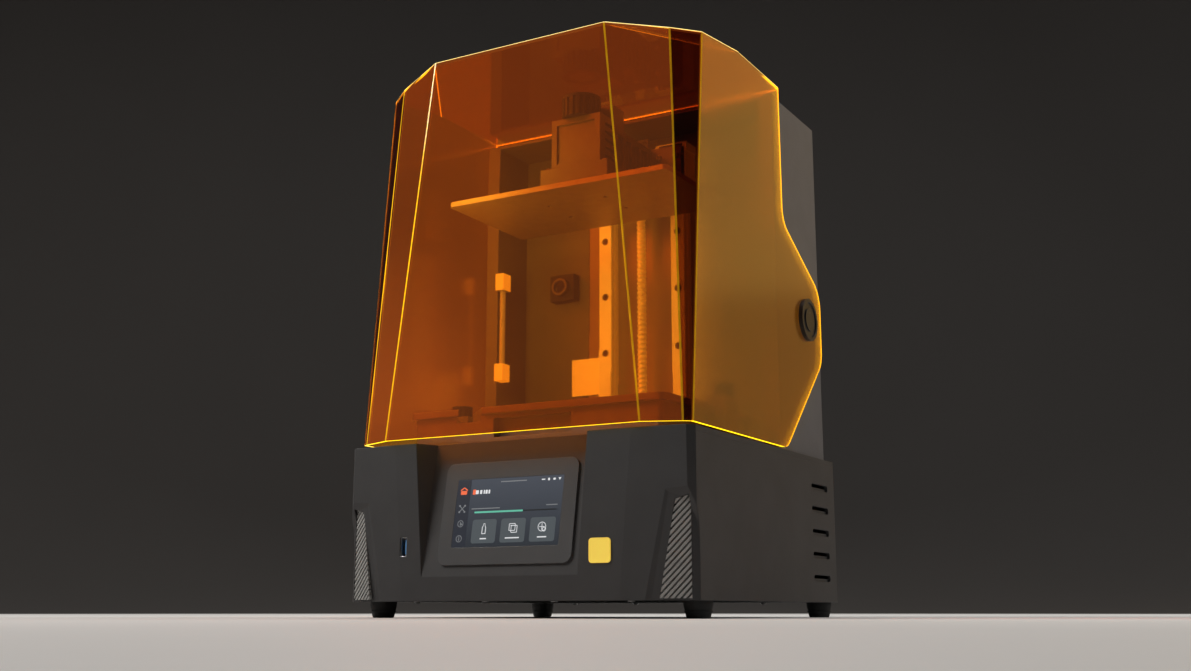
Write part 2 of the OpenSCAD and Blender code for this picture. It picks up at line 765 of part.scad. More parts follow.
// Three-pin mains inlet
module power_inlet() {
    color(black) {
        difference() {
            translate([inlet_x - inlet_w / 2, rear_y - inlet_d, inlet_z - inlet_h / 2])
                cube([inlet_w, inlet_d, inlet_h]);
            from_front(rear_y - inlet_d + 5, rear_y + eps)
                polygon([[inlet_x - inlet_w / 2 + 1.5, inlet_z - inlet_h / 2 + 1.5],
                    [inlet_x + inlet_w / 2 - 1.5, inlet_z - inlet_h / 2 + 1.5],
                    [inlet_x + inlet_w / 2 - 1.5, inlet_z + inlet_h / 2 - 5.5],
                    [inlet_x + inlet_w / 2 - 5.5, inlet_z + inlet_h / 2 - 1.5],
                    [inlet_x - inlet_w / 2 + 5.5, inlet_z + inlet_h / 2 - 1.5],
                    [inlet_x - inlet_w / 2 + 1.5, inlet_z + inlet_h / 2 - 5.5]]);
        }
        for (pin = [[-7, -1], [0, 3], [7, -1]])
            translate([inlet_x + pin[0] - 1, rear_y - inlet_d + 4, inlet_z + pin[1] - 2]) cube([2, 14, 4]);
        // retaining flange behind the panel
        translate([inlet_x - inlet_w / 2 - 8, rear_y - rear_t - 2, inlet_z - inlet_h / 2 - 1])
            difference() {
                cube([inlet_w + 16, 2, inlet_h + 2]);
                translate([9, -eps, 2]) cube([inlet_w - 2, 2 + 2 * eps, inlet_h - 2]);
            }
    }
}

rocker_w = 16.4;
rocker_tilt = 8;
rocker_pin_dia = 3;
rocker_y = rear_y - 4;
switch_bay_w = rocker_w + 2 * slide_gap;
switch_bay_h = 12.8;

// Frame of the mains switch with the blind bores of the rocker's pins
module switch_frame() {
    color(black) difference() {
        translate([inlet_x - switch_w / 2, rear_y - switch_d, switch_z - switch_h / 2])
            cube([switch_w, switch_d, switch_h]);
        translate([inlet_x - switch_bay_w / 2, rear_y - switch_d + 3, switch_z - switch_bay_h / 2])
            cube([switch_bay_w, switch_d, switch_bay_h]);
        translate([inlet_x - rocker_w / 2 - 1.9, rocker_y, switch_z]) rotate([0, 90, 0])
            cylinder(d = rocker_pin_dia + 2 * run_gap, h = rocker_w + 3.8);
    }
}

// Rocker of the mains switch, resting tipped on its two pins
module power_switch() {
    color([0.5, 0.06, 0.05]) translate([inlet_x, rocker_y, switch_z]) rotate([rocker_tilt, 0, 0]) {
        rotate([0, 90, 0]) translate([0, 0, -rocker_w / 2]) cylinder(r = 3.2, h = rocker_w);
        rotate([0, 90, 0]) translate([0, 0, -rocker_w / 2 - 1.6])
            cylinder(d = rocker_pin_dia, h = rocker_w + 3.2);
        from_side(-rocker_w / 2, rocker_w / 2)
            polygon([[-2, -4.4], [3.1, -5.2], [2.1, 0], [3.1, 5.2], [-2, 4.4]]);
    }
}

// ---------------------------------------------------------------- front details

// Glass of the touch screen with a shallow seat for the lit area
module screen_glass() {
    color([0.3, 0.31, 0.33]) on_pocket_floor()
        translate([-screen_shift, 0, screen_lift + screen_h / 2]) rotate([90, 0, 0]) difference() {
            rounded_plate(screen_w, screen_h, screen_t, screen_r);
            translate([0, 0, screen_t - 0.5]) rounded_plate(display_w, display_h, 1, 1);
        }
}

// Lit area of the touch screen
module screen_display() {
    color([0.1, 0.14, 0.18]) on_pocket_floor()
        translate([-screen_shift, 0, screen_lift + screen_h / 2]) rotate([90, 0, 0])
            translate([0, 0, screen_t - 0.5]) rounded_plate(display_w - 0.4, display_h - 0.4, 0.5, 0.8);
}

usb_shell_t = 0.5;
usb_shell_d = 13;

// Metal shell of the upright data socket
module usb_shell() {
    color(steel) translate([-usb_x, front_y + usb_shell_d, usb_z]) rotate([90, 0, 0]) difference() {
        rounded_plate(usb_w - 0.4, usb_h - 0.4, usb_shell_d - 0.6, 1);
        translate([0, 0, 1]) rounded_plate(usb_w - 0.4 - 2 * usb_shell_t, usb_h - 0.4 - 2 * usb_shell_t,
            usb_shell_d, 0.6);
    }
}

// Insulating tongue of the data socket
module usb_tongue() {
    color([0.2, 0.45, 0.75]) translate([-usb_x + 0.4, front_y + 2.2, usb_z - usb_h / 2 + 2.4])
        cube([2, usb_shell_d - 3.2, usb_h - 4.8]);
}

// Bare square badge
module badge_plate() {
    color([0.95, 0.75, 0.1]) translate([badge_x, front_y, base_z + badge_rise]) rotate([90, 0, 0])
        rounded_plate(badge_w, badge_w, 0.8, 3);
}

// ---------------------------------------------------------------- inside the base

motor_hole_dia = motor_boss_dia + 2 * bolt_gap;

// Deck plate with the exposure window and the motor's hole
module deck_plate() {
    color(charcoal) difference() {
        translate([-side_x, deck_y, deck_z - deck_t]) cube([base_w, rear_y - deck_y, deck_t]);
        // seat and window of the exposure screen
        translate([-lcd_x, mid_y - lcd_d / 2, deck_z - lcd_t]) cube([2 * lcd_x, lcd_d, deck_t]);
        translate([-lcd_x + 5, mid_y - lcd_d / 2 + 5, deck_z - deck_t - eps])
            cube([2 * lcd_x - 10, lcd_d - 10, deck_t + 2 * eps]);
        translate([0, screw_y, deck_z - deck_t - eps]) cylinder(d = motor_hole_dia, h = deck_t + 2 * eps);
        // cable slots under the tower's closed space
        both_sides() translate([40, spine_y + spine_t + 12, deck_z - deck_t - eps])
            cube([60, 12, deck_t + 2 * eps]);
    }
}

// Masking screen that the vat's film lies on
module exposure_screen() {
    color([0.05, 0.05, 0.08]) translate([-lcd_x + slide_gap, mid_y - lcd_d / 2 + slide_gap, deck_z - lcd_t])
        cube([2 * (lcd_x - slide_gap), lcd_d - 2 * slide_gap, lcd_t]);
}

engine_w = 226;
engine_d = 130;
engine_h = 100;
engine_t = 2.5;

// Reflector box with its plate of lamps, hung under the deck
module light_engine() {
    top_z = deck_z - deck_t;
    color(alloy) {
        difference() {
            union() {
                translate([-engine_w / 2, mid_y - engine_d / 2, top_z - engine_h])
                    cube([engine_w, engine_d, engine_h]);
                translate([-lcd_x, mid_y - lcd_d / 2, top_z - engine_t]) cube([2 * lcd_x, lcd_d, engine_t]);
            }
            translate([-engine_w / 2 + engine_t, mid_y - engine_d / 2 + engine_t, top_z - engine_h + 4])
                cube([engine_w - 2 * engine_t, engine_d - 2 * engine_t, engine_h]);
        }
        for (column = [-4:4], row = [-2:2])
            translate([column * 23, mid_y + row * 22, top_z - engine_h + 3.5]) cylinder(d = 12, h = 4);
    }
}

board_w = 120;
board_d = 90;
board_t = 1.6;
board_x = 22;
board_rise = 8;
board_edge = 4;
board_front = 20;

// Control board on four pillars, with its larger parts
module mainboard() {
    board_y = screw_y - board_front;
    board_z = base_z + pan_t + board_rise;
    plug_w = 14;
    plug_pitch = 21;
    sink_w = 30;
    color([0.05, 0.3, 0.15]) {
        translate([board_x, board_y, board_z]) cube([board_w, board_d, board_t]);
        for (x = [board_edge, board_w - board_edge], y = [board_edge, board_d - board_edge])
            translate([board_x + x, board_y + y, base_z + pan_t]) cylinder(d = 6, h = board_rise + board_t / 2);
        for (i = [0:4])
            translate([board_x + 2 * board_edge + i * plug_pitch, board_y + 2 * board_edge,
                board_z + board_t / 2])
                cube([plug_w, 10, 11]);
        translate([board_x + board_w / 3, board_y + board_d / 3, board_z + board_t / 2])
            cube([sink_w, sink_w, 7]);
    }
}

supply_w = 158;
supply_d = 72;
supply_h = 38;
supply_slots = 10;
supply_slot_d = 14;
supply_in = 22;
supply_fan_gap = 5;

// Closed power supply in front of the fan, with a row of slots along its back
module power_supply() {
    x0 = supply_in - side_x;
    y0 = rear_y - rear_t - fan_t - supply_fan_gap - supply_d;
    slot_pitch = supply_w / (supply_slots + 2);
    color(alloy) difference() {
        translate([x0, y0, base_z + pan_t]) cube([supply_w, supply_d, supply_h]);
        for (i = [1:supply_slots])
            translate([x0 + i * slot_pitch, y0 + supply_d - supply_slot_d - 6, base_z + pan_t + supply_h - 2])
                cube([5, supply_slot_d, 4]);
    }
}

// ---------------------------------------------------------------- tower

pin_hole_dia = hinge_pin_dia + 2 * bolt_gap;

// Open-fronted cabinet: two pillars, the lining beside the rails and the roof
module tower_shell() {
    wall = tower_t;
    depth = tower_back_y - tower_front_y - wall;
    color(tower_grey) difference() {
        union() {
            translate([0, 0, deck_z]) linear_extrude(tower_z - deck_z - wall) difference() {
                translate([-tower_x, tower_front_y]) square([tower_w, depth]);
                translate([-bay_x, tower_front_y - eps]) square([2 * bay_x, spine_y - tower_front_y + eps]);
                translate([-tower_x + wall, spine_y + wall]) square([tower_w - 2 * wall, depth]);
                both_sides() translate([bay_x + wall, tower_front_y + wall])
                    square([pillar_w - 2 * wall, depth]);
                translate([-spine_w / 2 - slide_gap, spine_y - eps]) square([spine_w + 2 * slide_gap, depth]);
            }
            translate([-tower_x, tower_front_y, tower_z - wall]) cube([tower_w, depth, wall]);
        }
        both_sides() translate([tower_x - wall - eps, hinge_y, hinge_z]) rotate([0, 90, 0])
            cylinder(d = pin_hole_dia, h = wall + 2 * eps);
    }
}

// Removable back of the tower, with a band of vent slots
module tower_back() {
    slot_z = tower_z - 70;
    color(tower_grey) difference() {
        translate([-tower_x, tower_back_y - tower_t, deck_z]) cube([tower_w, tower_t, tower_z - deck_z]);
        for (row = [0:4], column = [-3:3])
            translate([column * 30, tower_back_y + eps, slot_z + row * 9]) rotate([90, 0, 0])
                rounded_plate(22, 3.5, tower_t + 2 * eps, 1.7);
    }
}

// Bores of a rail's bolts, at the rail's own height
module at_rail_holes() {
    for (i = [0:floor((rail_l - 2 * rail_first + 0.5) / rail_pitch)])
        translate([0, 0, rail_z + rail_first + i * rail_pitch]) children();
}

rail_bolt_dia = 4;
rail_hole_dia = 4.5;
rail_sink_dia = 7.5;
rail_sink_d = 5.3;

// Thick plate behind the rails
module rail_plate() {
    color(alloy) difference() {
        translate([-spine_w / 2, spine_y, deck_z]) cube([spine_w, spine_t, tower_z - deck_z - tower_t]);
        both_sides() translate([rail_gap / 2, spine_y - eps, 0]) at_rail_holes()
            rotate([-90, 0, 0]) cylinder(d = rail_bolt_dia, h = spine_t + 2 * eps);
    }
}

// Profiled linear rail with counterbored holes
module rail(x) {
    y = spine_y;
    color(steel) difference() {
        translate([x, 0, rail_z]) linear_extrude(rail_l) polygon([
            [-rail_w / 2, y], [-rail_w / 2, y - 5.5], [-rail_w / 2 + 1.6, y - 7], [-rail_w / 2 + 1.6, y - 8.5],
            [-rail_w / 2, y - 10], [-rail_w / 2, y - rail_h + 0.8], [-rail_w / 2 + 0.8, y - rail_h],
            [rail_w / 2 - 0.8, y - rail_h], [rail_w / 2, y - rail_h + 0.8], [rail_w / 2, y - 10],
            [rail_w / 2 - 1.6, y - 8.5], [rail_w / 2 - 1.6, y - 7], [rail_w / 2, y - 5.5], [rail_w / 2, y]]);
        translate([x, y - rail_h, 0]) at_rail_holes() {
            translate([0, -eps, 0]) rotate([-90, 0, 0]) cylinder(d = rail_hole_dia, h = rail_h + 2 * eps);
            translate([0, -eps, 0]) rotate([-90, 0, 0]) cylinder(d = rail_sink_dia, h = rail_sink_d + eps);
        }
    }
}

module rail_left() {
    rail(-rail_gap / 2);
}

module rail_right() {
    rail(rail_gap / 2);
}

// Socket screws sunk in the rails
module rail_screws() {
    color(black) both_sides() translate([rail_gap / 2, spine_y - rail_h + rail_sink_d, 0]) at_rail_holes() {
        rotate([90, 0, 0]) difference() {
            cylinder(d = rail_sink_dia - 0.4, h = 4);
            translate([0, 0, 2]) cylinder(d = 3.5, h = 4, $fn = 6);
        }
        rotate([-90, 0, 0]) cylinder(d = rail_bolt_dia - 0.2, h = rail_h - rail_sink_d + spine_t - 1);
    }
}

journal_dia = screw_dia - 2;

// Block that steadies the screw's upper end
module top_bearing() {
    color(alloy) difference() {
        translate([-14, screw_y - 10, bearing_z]) cube([28, 10 + screw_off, bearing_l]);
        translate([0, screw_y, bearing_z - eps])
            cylinder(d = journal_dia + 2 * run_gap, h = bearing_l + 2 * eps);
    }
}

// Stepping motor under the deck
module lift_motor() {
    half = motor_w / 2;
    flat = half - 4;
    color(black) difference() {
        union() {
            translate([0, screw_y, motor_top_z - motor_h]) linear_extrude(motor_h)
                polygon([[-flat, -half], [flat, -half], [half, -flat], [half, flat],
                    [flat, half], [-flat, half], [-half, flat], [-half, -flat]]);
            translate([0, screw_y, motor_top_z - eps]) cylinder(d = motor_boss_dia, h = motor_boss_h + eps);
        }
        translate([0, screw_y, motor_top_z - motor_h + 8])
            cylinder(d = shaft_dia + 2 * run_gap, h = motor_h + motor_boss_h);
    }
}

// Motor shaft and the clamping coupling on it
module motor_coupling() {
    color(steel) {
        translate([0, screw_y, motor_top_z - motor_h + 9])
            cylinder(d = shaft_dia, h = coupling_z + 4 - motor_top_z + motor_h - 9);
        difference() {
            translate([0, screw_y, coupling_z]) cylinder(d = coupling_dia, h = coupling_l);
            translate([0, screw_y, coupling_z + coupling_l / 2]) cylinder(d = screw_dia, h = coupling_l);
            for (z = [0.25, 0.75])
                translate([-coupling_dia / 2, screw_y - coupling_dia / 2 + 3.5,
                    coupling_z + z * coupling_l - 0.5])
                    cube([coupling_dia, 1, 1]);
        }
    }
}

// Ball screw with a turned-down upper journal
module ball_screw() {
    screw_z = coupling_z + coupling_l / 2;
    color(steel) {
        translate([0, screw_y, screw_z]) cylinder(d = screw_dia, h = bearing_z - 0.4 - screw_z);
        translate([0, screw_y, bearing_z - 1]) cylinder(d = journal_dia, h = bearing_l);
    }
}

// Flanged ball nut, carried in the arm
module ball_nut() {
    color(steel) difference() {
        union() {
            translate([0, screw_y, nut_z]) cylinder(d = nut_dia, h = nut_l);
            translate([0, screw_y, nut_z + nut_l - nut_flange_t])
                cylinder(d = nut_flange_dia, h = nut_flange_t);
        }
        translate([0, screw_y, nut_z - eps]) cylinder(d = screw_dia + 2 * run_gap, h = nut_l + 2 * eps);
    }
}

// Runner blocks that wrap the rails
module carriages() {
    slot_w = rail_w + 2 * slide_gap;
    color(steel) both_sides() difference() {
        translate([rail_gap / 2 - carriage_w / 2, carriage_y, carriage_z])
            cube([carriage_w, carriage_h - carriage_foot, carriage_l]);
        translate([rail_gap / 2 - slot_w / 2, spine_y - rail_h - slide_gap, carriage_z - eps])
            cube([slot_w, rail_h, carriage_l + 2 * eps]);
        // step between the end caps and the steel body
        for (side = [-1, 1])
            translate([rail_gap / 2 + side * (carriage_w / 2) - 1, carriage_y - eps, carriage_z + 9])
                cube([2, carriage_h, carriage_l - 18]);
    }
}

// ---------------------------------------------------------------- lift

// Cantilever arm: back plate on the carriages, nut housing, ribbed beam and hump
module lift_arm() {
    beam_y = box_front_y + box_t + slide_gap;
    plate_w = rail_gap + carriage_w - 4;
    hump_y = box_back_y + slide_gap;
    rib_bays = 4;
    bay_l = (arm_plate_y - box_back_y - 12) / rib_bays;
    color(tower_grey) difference() {
        union() {
            translate([-plate_w / 2, arm_plate_y, arm_z - 1]) cube([plate_w, arm_plate_t, arm_h + 1]);
            translate([-arm_w / 2, beam_y, arm_z]) cube([arm_w, arm_plate_y - beam_y + eps, arm_h]);
            translate([-arm_w / 2, hump_y, arm_top_z - eps]) cube([arm_w, hump_d, knob_h + eps]);
            translate([-15, carriage_y - eps, nut_z]) cube([30, carriage_h, nut_l - nut_flange_t - 0.5]);
        }
        // ribbed flanks of the beam
        both_sides() for (i = [0:rib_bays - 1])
            translate([arm_w / 2 - 4, box_back_y + 8 + i * bay_l, arm_z + 6])
                cube([4 + eps, bay_l - 4, arm_h - 12]);
        translate([0, screw_y, nut_z - eps]) cylinder(d = nut_dia, h = nut_l);
        // threaded seat of the clamping knob
        translate([0, knob_y, arm_top_z - stem_l - 2]) cylinder(d = stem_dia + 2 * run_gap, h = stem_l + 3);
    }
}

// Block that boxes in the arm's end; the knob clamps it from above
module platform_block() {
    frame_w = 6;
    color(alloy) difference() {
        union() {
            translate([-block_w / 2, mid_y - block_front, block_z]) cube([block_w, block_d, block_h]);
            translate([-box_x, box_front_y, arm_z - eps])
                cube([2 * box_x, box_back_y - box_front_y, arm_h + cap_plate_t + eps]);
        }
        // room for the arm, open to the back
        translate([-arm_w / 2, box_front_y + box_t, arm_z]) cube([arm_w, block_d, arm_h]);
        // framed panel on the front
        translate([-box_x + frame_w, box_front_y - eps, arm_z + frame_w - 1])
            cube([2 * (box_x - frame_w), 1.5 + eps, arm_h - 2 * frame_w + 4]);
        // slots in the cheeks
        both_sides() for (i = [0:4])
            translate([arm_w / 2 - eps, box_front_y + 10, arm_z + 7 + i * 8])
                cube([box_t + 2 * eps, 18, 4]);
        translate([0, knob_y, arm_top_z - eps]) cylinder(d = stem_dia + 2 * run_gap, h = cap_plate_t + 2 * eps);
        // lightening pockets beside the box
        both_sides() translate([box_x + 3, mid_y - block_front + 5, block_z + 6])
            cube([block_w / 2 - box_x - 8, block_d - 10, block_h]);
    }
}

// Build platform
module platform_plate() {
    color(alloy) translate([0, mid_y, platform_z]) difference() {
        rounded_plate(platform_w, platform_d, platform_t, 4);
        for (x = [-1, 1], y = [-1, 1])
            translate([x * (block_w / 2 - 6), y * 20, -eps]) cylinder(d = 5, h = 2.5 + eps);
    }
}

// Fluted clamping knob on its stem
module platform_knob() {
    color(black) translate([0, knob_y, 0]) {
        difference() {
            translate([0, 0, knob_z]) cylinder(d = knob_dia, h = knob_h);
            for (a = [0:20:359])
                rotate(a) translate([knob_dia / 2 + 0.6, 0, knob_z - eps])
                    cylinder(d = 4, h = knob_h - 3 + eps);
            translate([0, 0, knob_z + knob_h - 2]) cylinder(d = knob_dia - 12, h = 3);
        }
        translate([0, 0, arm_top_z - stem_l]) cylinder(d = stem_dia, h = knob_z - arm_top_z + stem_l + eps);
    }
}

// ---------------------------------------------------------------- vat

// Milled vat: rim, walls and the bath that the platform dips into
module vat_body() {
    vat_mid_y = (vat_front_y + vat_back_y) / 2;
    bath_mid_y = (bath_front_y + bath_back_y) / 2;
    color(alloy) difference() {
        union() {
            translate([0, vat_mid_y, vat_z])
                rounded_plate(vat_w - 2 * vat_rim_over, vat_d - 2 * vat_rim_over, vat_h, 6);
            translate([0, vat_mid_y, vat_top_z - vat_rim_t]) rounded_plate(vat_w, vat_d, vat_rim_t, 9);
        }
        translate([0, bath_mid_y, vat_z - eps])
            rounded_plate(2 * bath_x, bath_back_y - bath_front_y, vat_h + 2 * eps, 8);
        // pouring notch in the front left corner
        translate([-vat_w / 2 + 34, bath_front_y + 4, vat_top_z - 12]) rotate([0, 0, 45])
            translate([-9, -80, 0]) cube([18, 80, 20]);
        // front handhold
        translate([-40, vat_front_y - eps, vat_z + 6]) cube([80, 14, vat_h - vat_rim_t - 10]);
    }
}

// Film stretched under the vat
module release_film() {
    color([0.8, 0.85, 0.9, 0.5]) translate([0, (vat_front_y + vat_back_y) / 2, deck_z])
        rounded_plate(vat_w - 2 * vat_rim_over - 4, vat_d - 2 * vat_rim_over - 4, film_t, 6);
}

clamp_stem_dia = 6;

// Hooked posts on the deck beside the vat
module vat_clamps() {
    post_x = vat_w / 2 + clamp_gap;
    hook = 9;
    color(tower_grey) both_sides() difference() {
        union() {
            translate([post_x, clamp_y - clamp_w / 2, deck_z]) cube([clamp_t, clamp_w, clamp_top_z - deck_z]);
            translate([post_x - clamp_gap - hook, clamp_y - clamp_w / 2, vat_top_z])
                cube([clamp_gap + hook + eps, clamp_w, clamp_top_z - vat_top_z]);
        }
        translate([post_x + clamp_t / 2 - 1, clamp_y, clamp_top_z - 20])
            cylinder(d = clamp_stem_dia + 2 * run_gap, h = 30);
    }
}

// Thumb screw of the right-hand clamp
module vat_screw() {
    stem_x = vat_w / 2 + clamp_gap + clamp_t / 2 - 1;
    translate([stem_x, clamp_y, 0]) {
        difference() {
            translate([0, 0, clamp_top_z + slide_gap]) cylinder(d = clamp_dia, h = 11);
            for (a = [0:30:359])
                rotate(a) translate([clamp_dia / 2 + 0.4, 0, clamp_top_z]) cylinder(d = 3, h = 9);
        }
        translate([0, 0, clamp_top_z - 19]) cylinder(d = clamp_stem_dia, h = 20);
    }
}

module vat_screw_right() {
    color(black) vat_screw();
}

module vat_screw_left() {
    color(black) mirror([1, 0, 0]) vat_screw();
}

// ---------------------------------------------------------------- inside the tower

lamp_w = 10;
lamp_x = -bay_x + lamp_w / 2;
lamp_block_h = 18;
lamp_reach = 14;
lamp_y = tower_front_y - 4.5;
lamp_low_rise = 91;
lamp_high_rise = 188;
lamp_rod_dia = 6;

// Chamber lamp on the left pillar's inner side: a rod between two blocks
module lamp_bar() {
    low_z = deck_z + lamp_low_rise;
    high_z = deck_z + lamp_high_rise;
    color(steel) {
        for (z = [low_z, high_z])
            translate([lamp_x - lamp_w / 2, lamp_y, z]) cube([lamp_w, lamp_reach, lamp_block_h]);
        translate([lamp_x, lamp_y + lamp_reach / 2, low_z + lamp_block_h - eps])
            cylinder(d = lamp_rod_dia, h = high_z - low_z - lamp_block_h + 2 * eps);
    }
}

camera_w = 28;
camera_d = 12;
camera_rise = 181;

// Square camera on the lining, left of the rails
module camera_module() {
    camera_x = -spine_w / 2 - 27;
    camera_z = deck_z + camera_rise;
    color(black) {
        translate([camera_x - camera_w / 2, spine_y - camera_d, camera_z]) cube([camera_w, camera_d, camera_w]);
        translate([camera_x, spine_y - camera_d + eps, camera_z + camera_w / 2]) rotate([90, 0, 0])
            difference() {
                cylinder(d = 18, h = 7);
                translate([0, 0, 5]) cylinder(d = 12, h = 3);
            }
    }
}

plate_w = 36;
plate_h = 39;
plate_t = 1.2;
plate_rise = 78;
plate_rim = 2;

// Bare plate left of the rails
module label_plate() {
    plate_x = -rail_gap / 2 - rail_w / 2 - 4 - plate_w;
    color([0.6, 0.5, 0.35]) translate([plate_x, spine_y - plate_t, deck_z + plate_rise]) difference() {
        cube([plate_w, plate_t, plate_h]);
        translate([plate_rim, -eps, plate_rim])
            cube([plate_w - 2 * plate_rim, eps + 0.4, plate_h - 2 * plate_rim]);
    }
}

// ---------------------------------------------------------------- hinge

pin_end_x = hood_x + pin_reach - 2;

// Fixed hinge pins, flanged inside the tower's side walls
module hinge_pins() {
    color(steel) both_sides() translate([0, hinge_y, hinge_z]) rotate([0, 90, 0]) {
        translate([0, 0, tower_x - tower_t - pin_flange_t]) cylinder(d = pin_flange_dia, h = pin_flange_t);
        translate([0, 0, tower_x - tower_t - pin_flange_t])
            cylinder(d = hinge_pin_dia, h = pin_end_x - tower_x + tower_t + pin_flange_t);
    }
}

hub_hole_dia = cap_hub_dia + 2 * bolt_gap;

// Round caps in the hood's ears, with the bearing hub and a raised rim
module hinge_caps() {
    color(black) both_sides() translate([0, hinge_y, hinge_z]) rotate([0, 90, 0]) difference() {
        union() {
            translate([0, 0, tower_x + slide_gap]) cylinder(d = cap_hub_dia, h = hood_x - tower_x);
            translate([0, 0, hood_x]) cylinder(d = hinge_cap_dia, h = cap_proud);
        }
        translate([0, 0, tower_x - eps])
            cylinder(d = hinge_pin_dia + 2 * run_gap, h = pin_end_x - tower_x + eps + slide_gap);
        translate([0, 0, hood_x + cap_proud - 1.2]) difference() {
            cylinder(d = hinge_cap_dia - 7, h = 2);
            translate([0, 0, -eps]) cylinder(d = hinge_cap_dia - 19, h = 4);
        }
    }
}

// ---------------------------------------------------------------- hood

// Side outline of the hood: straight front, ears that reach back to the hinge
ear_back_y = hinge_y + hinge_cap_dia / 2 + 20;
ear_low_z = hinge_z - 37;
ear_high_z = hinge_z + 35;
ear_root_z = hinge_z + 87;
ear_foot_y = hinge_y - 60;

module hood_outline() {
    polygon(rounded([[-big / 2, hood_z, 0], [ear_foot_y, hood_z, 20], [ear_back_y, ear_low_z, 28],
        [ear_back_y, ear_high_z, 30], [hood_back_y + 2, ear_root_z, 25],
        [hood_back_y, hood_top_z + 5, 0], [-big / 2, hood_top_z + 5, 0]]));
}

// Solid form of the hood before its sheet is hollowed
module hood_form() {
    difference() {
        from_side(-hood_x, hood_x) hood_outline();
        before(pane_face);
        before(roof_face);
        both_sides() {
            before(corner_face);
            before(narrow_face);
            before(crown_face);
        }
    }
}

module hood_front() {
    color(amber) difference() {
        hood_form();
        behind(pane_face, sheet_t);
        both_sides() {
            before(corner_face, sheet_t);
            before(narrow_face, sheet_t);
        }
    }
}

module hood_corners() {
    color(amber) both_sides() difference() {
        hood_form();
        behind(corner_face, sheet_t);
        before(narrow_face, sheet_t);
        before(side_face, sheet_t);
    }
}

module hood_facets() {
    color(amber) both_sides() difference() {
        hood_form();
        behind(narrow_face, sheet_t);
        before(side_face, sheet_t);
    }
}

module hood_side() {
    difference() {
        hood_form();
        behind(side_face, sheet_t);
        translate([tower_x, hinge_y, hinge_z]) rotate([0, 90, 0]) cylinder(d = hub_hole_dia, h = 20);
    }
}

module hood_side_right() {
    color(amber) hood_side();
}

module hood_side_left() {
    color(amber) mirror([1, 0, 0]) hood_side();
}

module hood_crowns() {
    color(amber) both_sides() difference() {
        hood_form();
        behind(crown_face, sheet_t);
        before(pane_face, sheet_t);
        before(corner_face, sheet_t);
        before(narrow_face, sheet_t);
        before(side_face, sheet_t);
    }
}

module hood_roof() {
    color(amber) difference() {
        hood_form();
        behind(roof_face, sheet_t);
        before(pane_face, sheet_t);
        both_sides() {
            before(corner_face, sheet_t);
            before(narrow_face, sheet_t);
            before(side_face, sheet_t);
            before(crown_face, sheet_t);
        }
    }
}

base_pan();
front_fascia();
side_cover_left();
side_cover_right();
rear_panel();
deck_plate();
screen_glass();
screen_display();
usb_shell();
usb_tongue();
badge_plate();
grille_left();
grille_right();
feet();
pan_screws();
exposure_screen();
light_engine();
mainboard();
power_supply();
fan_frame();
fan_rotor();
power_inlet();
switch_frame();
power_switch();
tower_shell();
tower_back();
rail_plate();
rail_left();
rail_right();
rail_screws();
top_bearing();
lift_motor();
motor_coupling();
ball_screw();
ball_nut();
carriages();
lift_arm();
platform_block();
platform_plate();
platform_knob();
vat_body();
release_film();
vat_clamps();
vat_screw_left();
vat_screw_right();
lamp_bar();
camera_module();
label_plate();
hinge_pins();
hinge_caps();
hood_front();
hood_corners();
hood_facets();
hood_side_left();
hood_side_right();
hood_crowns();
hood_roof();
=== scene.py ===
"""Looks of the desktop resin printer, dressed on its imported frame.

Everything is in the row frame: X to the printer's right, Y to the back, Z up,
origin on the ground. Sizes are written in millimetres and turned into metres
where a mesh is made.
"""

from __future__ import annotations

import json
import logging
import math
from dataclasses import dataclass
from enum import Enum, IntEnum
from typing import Iterable, Sequence

import bmesh
import bpy
from mathutils import Matrix, Vector
from mathutils.geometry import convex_hull_2d

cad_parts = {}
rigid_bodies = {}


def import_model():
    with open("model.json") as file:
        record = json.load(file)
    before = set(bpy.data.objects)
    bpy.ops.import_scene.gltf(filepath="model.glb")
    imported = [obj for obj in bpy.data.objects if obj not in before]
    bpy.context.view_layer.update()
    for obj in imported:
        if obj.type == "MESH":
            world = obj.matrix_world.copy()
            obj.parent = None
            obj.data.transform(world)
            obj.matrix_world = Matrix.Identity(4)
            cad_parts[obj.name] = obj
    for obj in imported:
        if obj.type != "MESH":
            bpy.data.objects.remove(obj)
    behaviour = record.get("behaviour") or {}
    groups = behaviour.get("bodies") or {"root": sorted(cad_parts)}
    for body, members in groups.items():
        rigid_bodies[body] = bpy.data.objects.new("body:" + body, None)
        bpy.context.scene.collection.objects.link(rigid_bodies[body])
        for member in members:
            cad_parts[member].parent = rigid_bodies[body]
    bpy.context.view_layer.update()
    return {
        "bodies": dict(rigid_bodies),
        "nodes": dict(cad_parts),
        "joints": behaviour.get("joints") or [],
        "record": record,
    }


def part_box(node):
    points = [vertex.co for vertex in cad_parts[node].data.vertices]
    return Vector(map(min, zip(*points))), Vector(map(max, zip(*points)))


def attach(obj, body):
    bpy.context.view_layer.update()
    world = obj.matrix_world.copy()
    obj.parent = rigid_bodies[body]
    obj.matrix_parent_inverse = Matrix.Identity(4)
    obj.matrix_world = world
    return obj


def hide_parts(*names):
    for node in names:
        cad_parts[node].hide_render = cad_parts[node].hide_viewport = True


LOG = logging.getLogger("printer")
MM = 0.001
RGB = tuple[float, float, float]
Point2 = tuple[float, float]
Point3 = tuple[float, float, float]

SMOOTH_UNDER = 35.0
COAT_ROUGHNESS = 0.12
PATCH_DETAIL = 4.0
PATCH_RAMP = (0.3, 0.7)
RELIEF_DETAIL = 3.0
RELIEF_MM = 0.2
EDGE_SAMPLES = 4


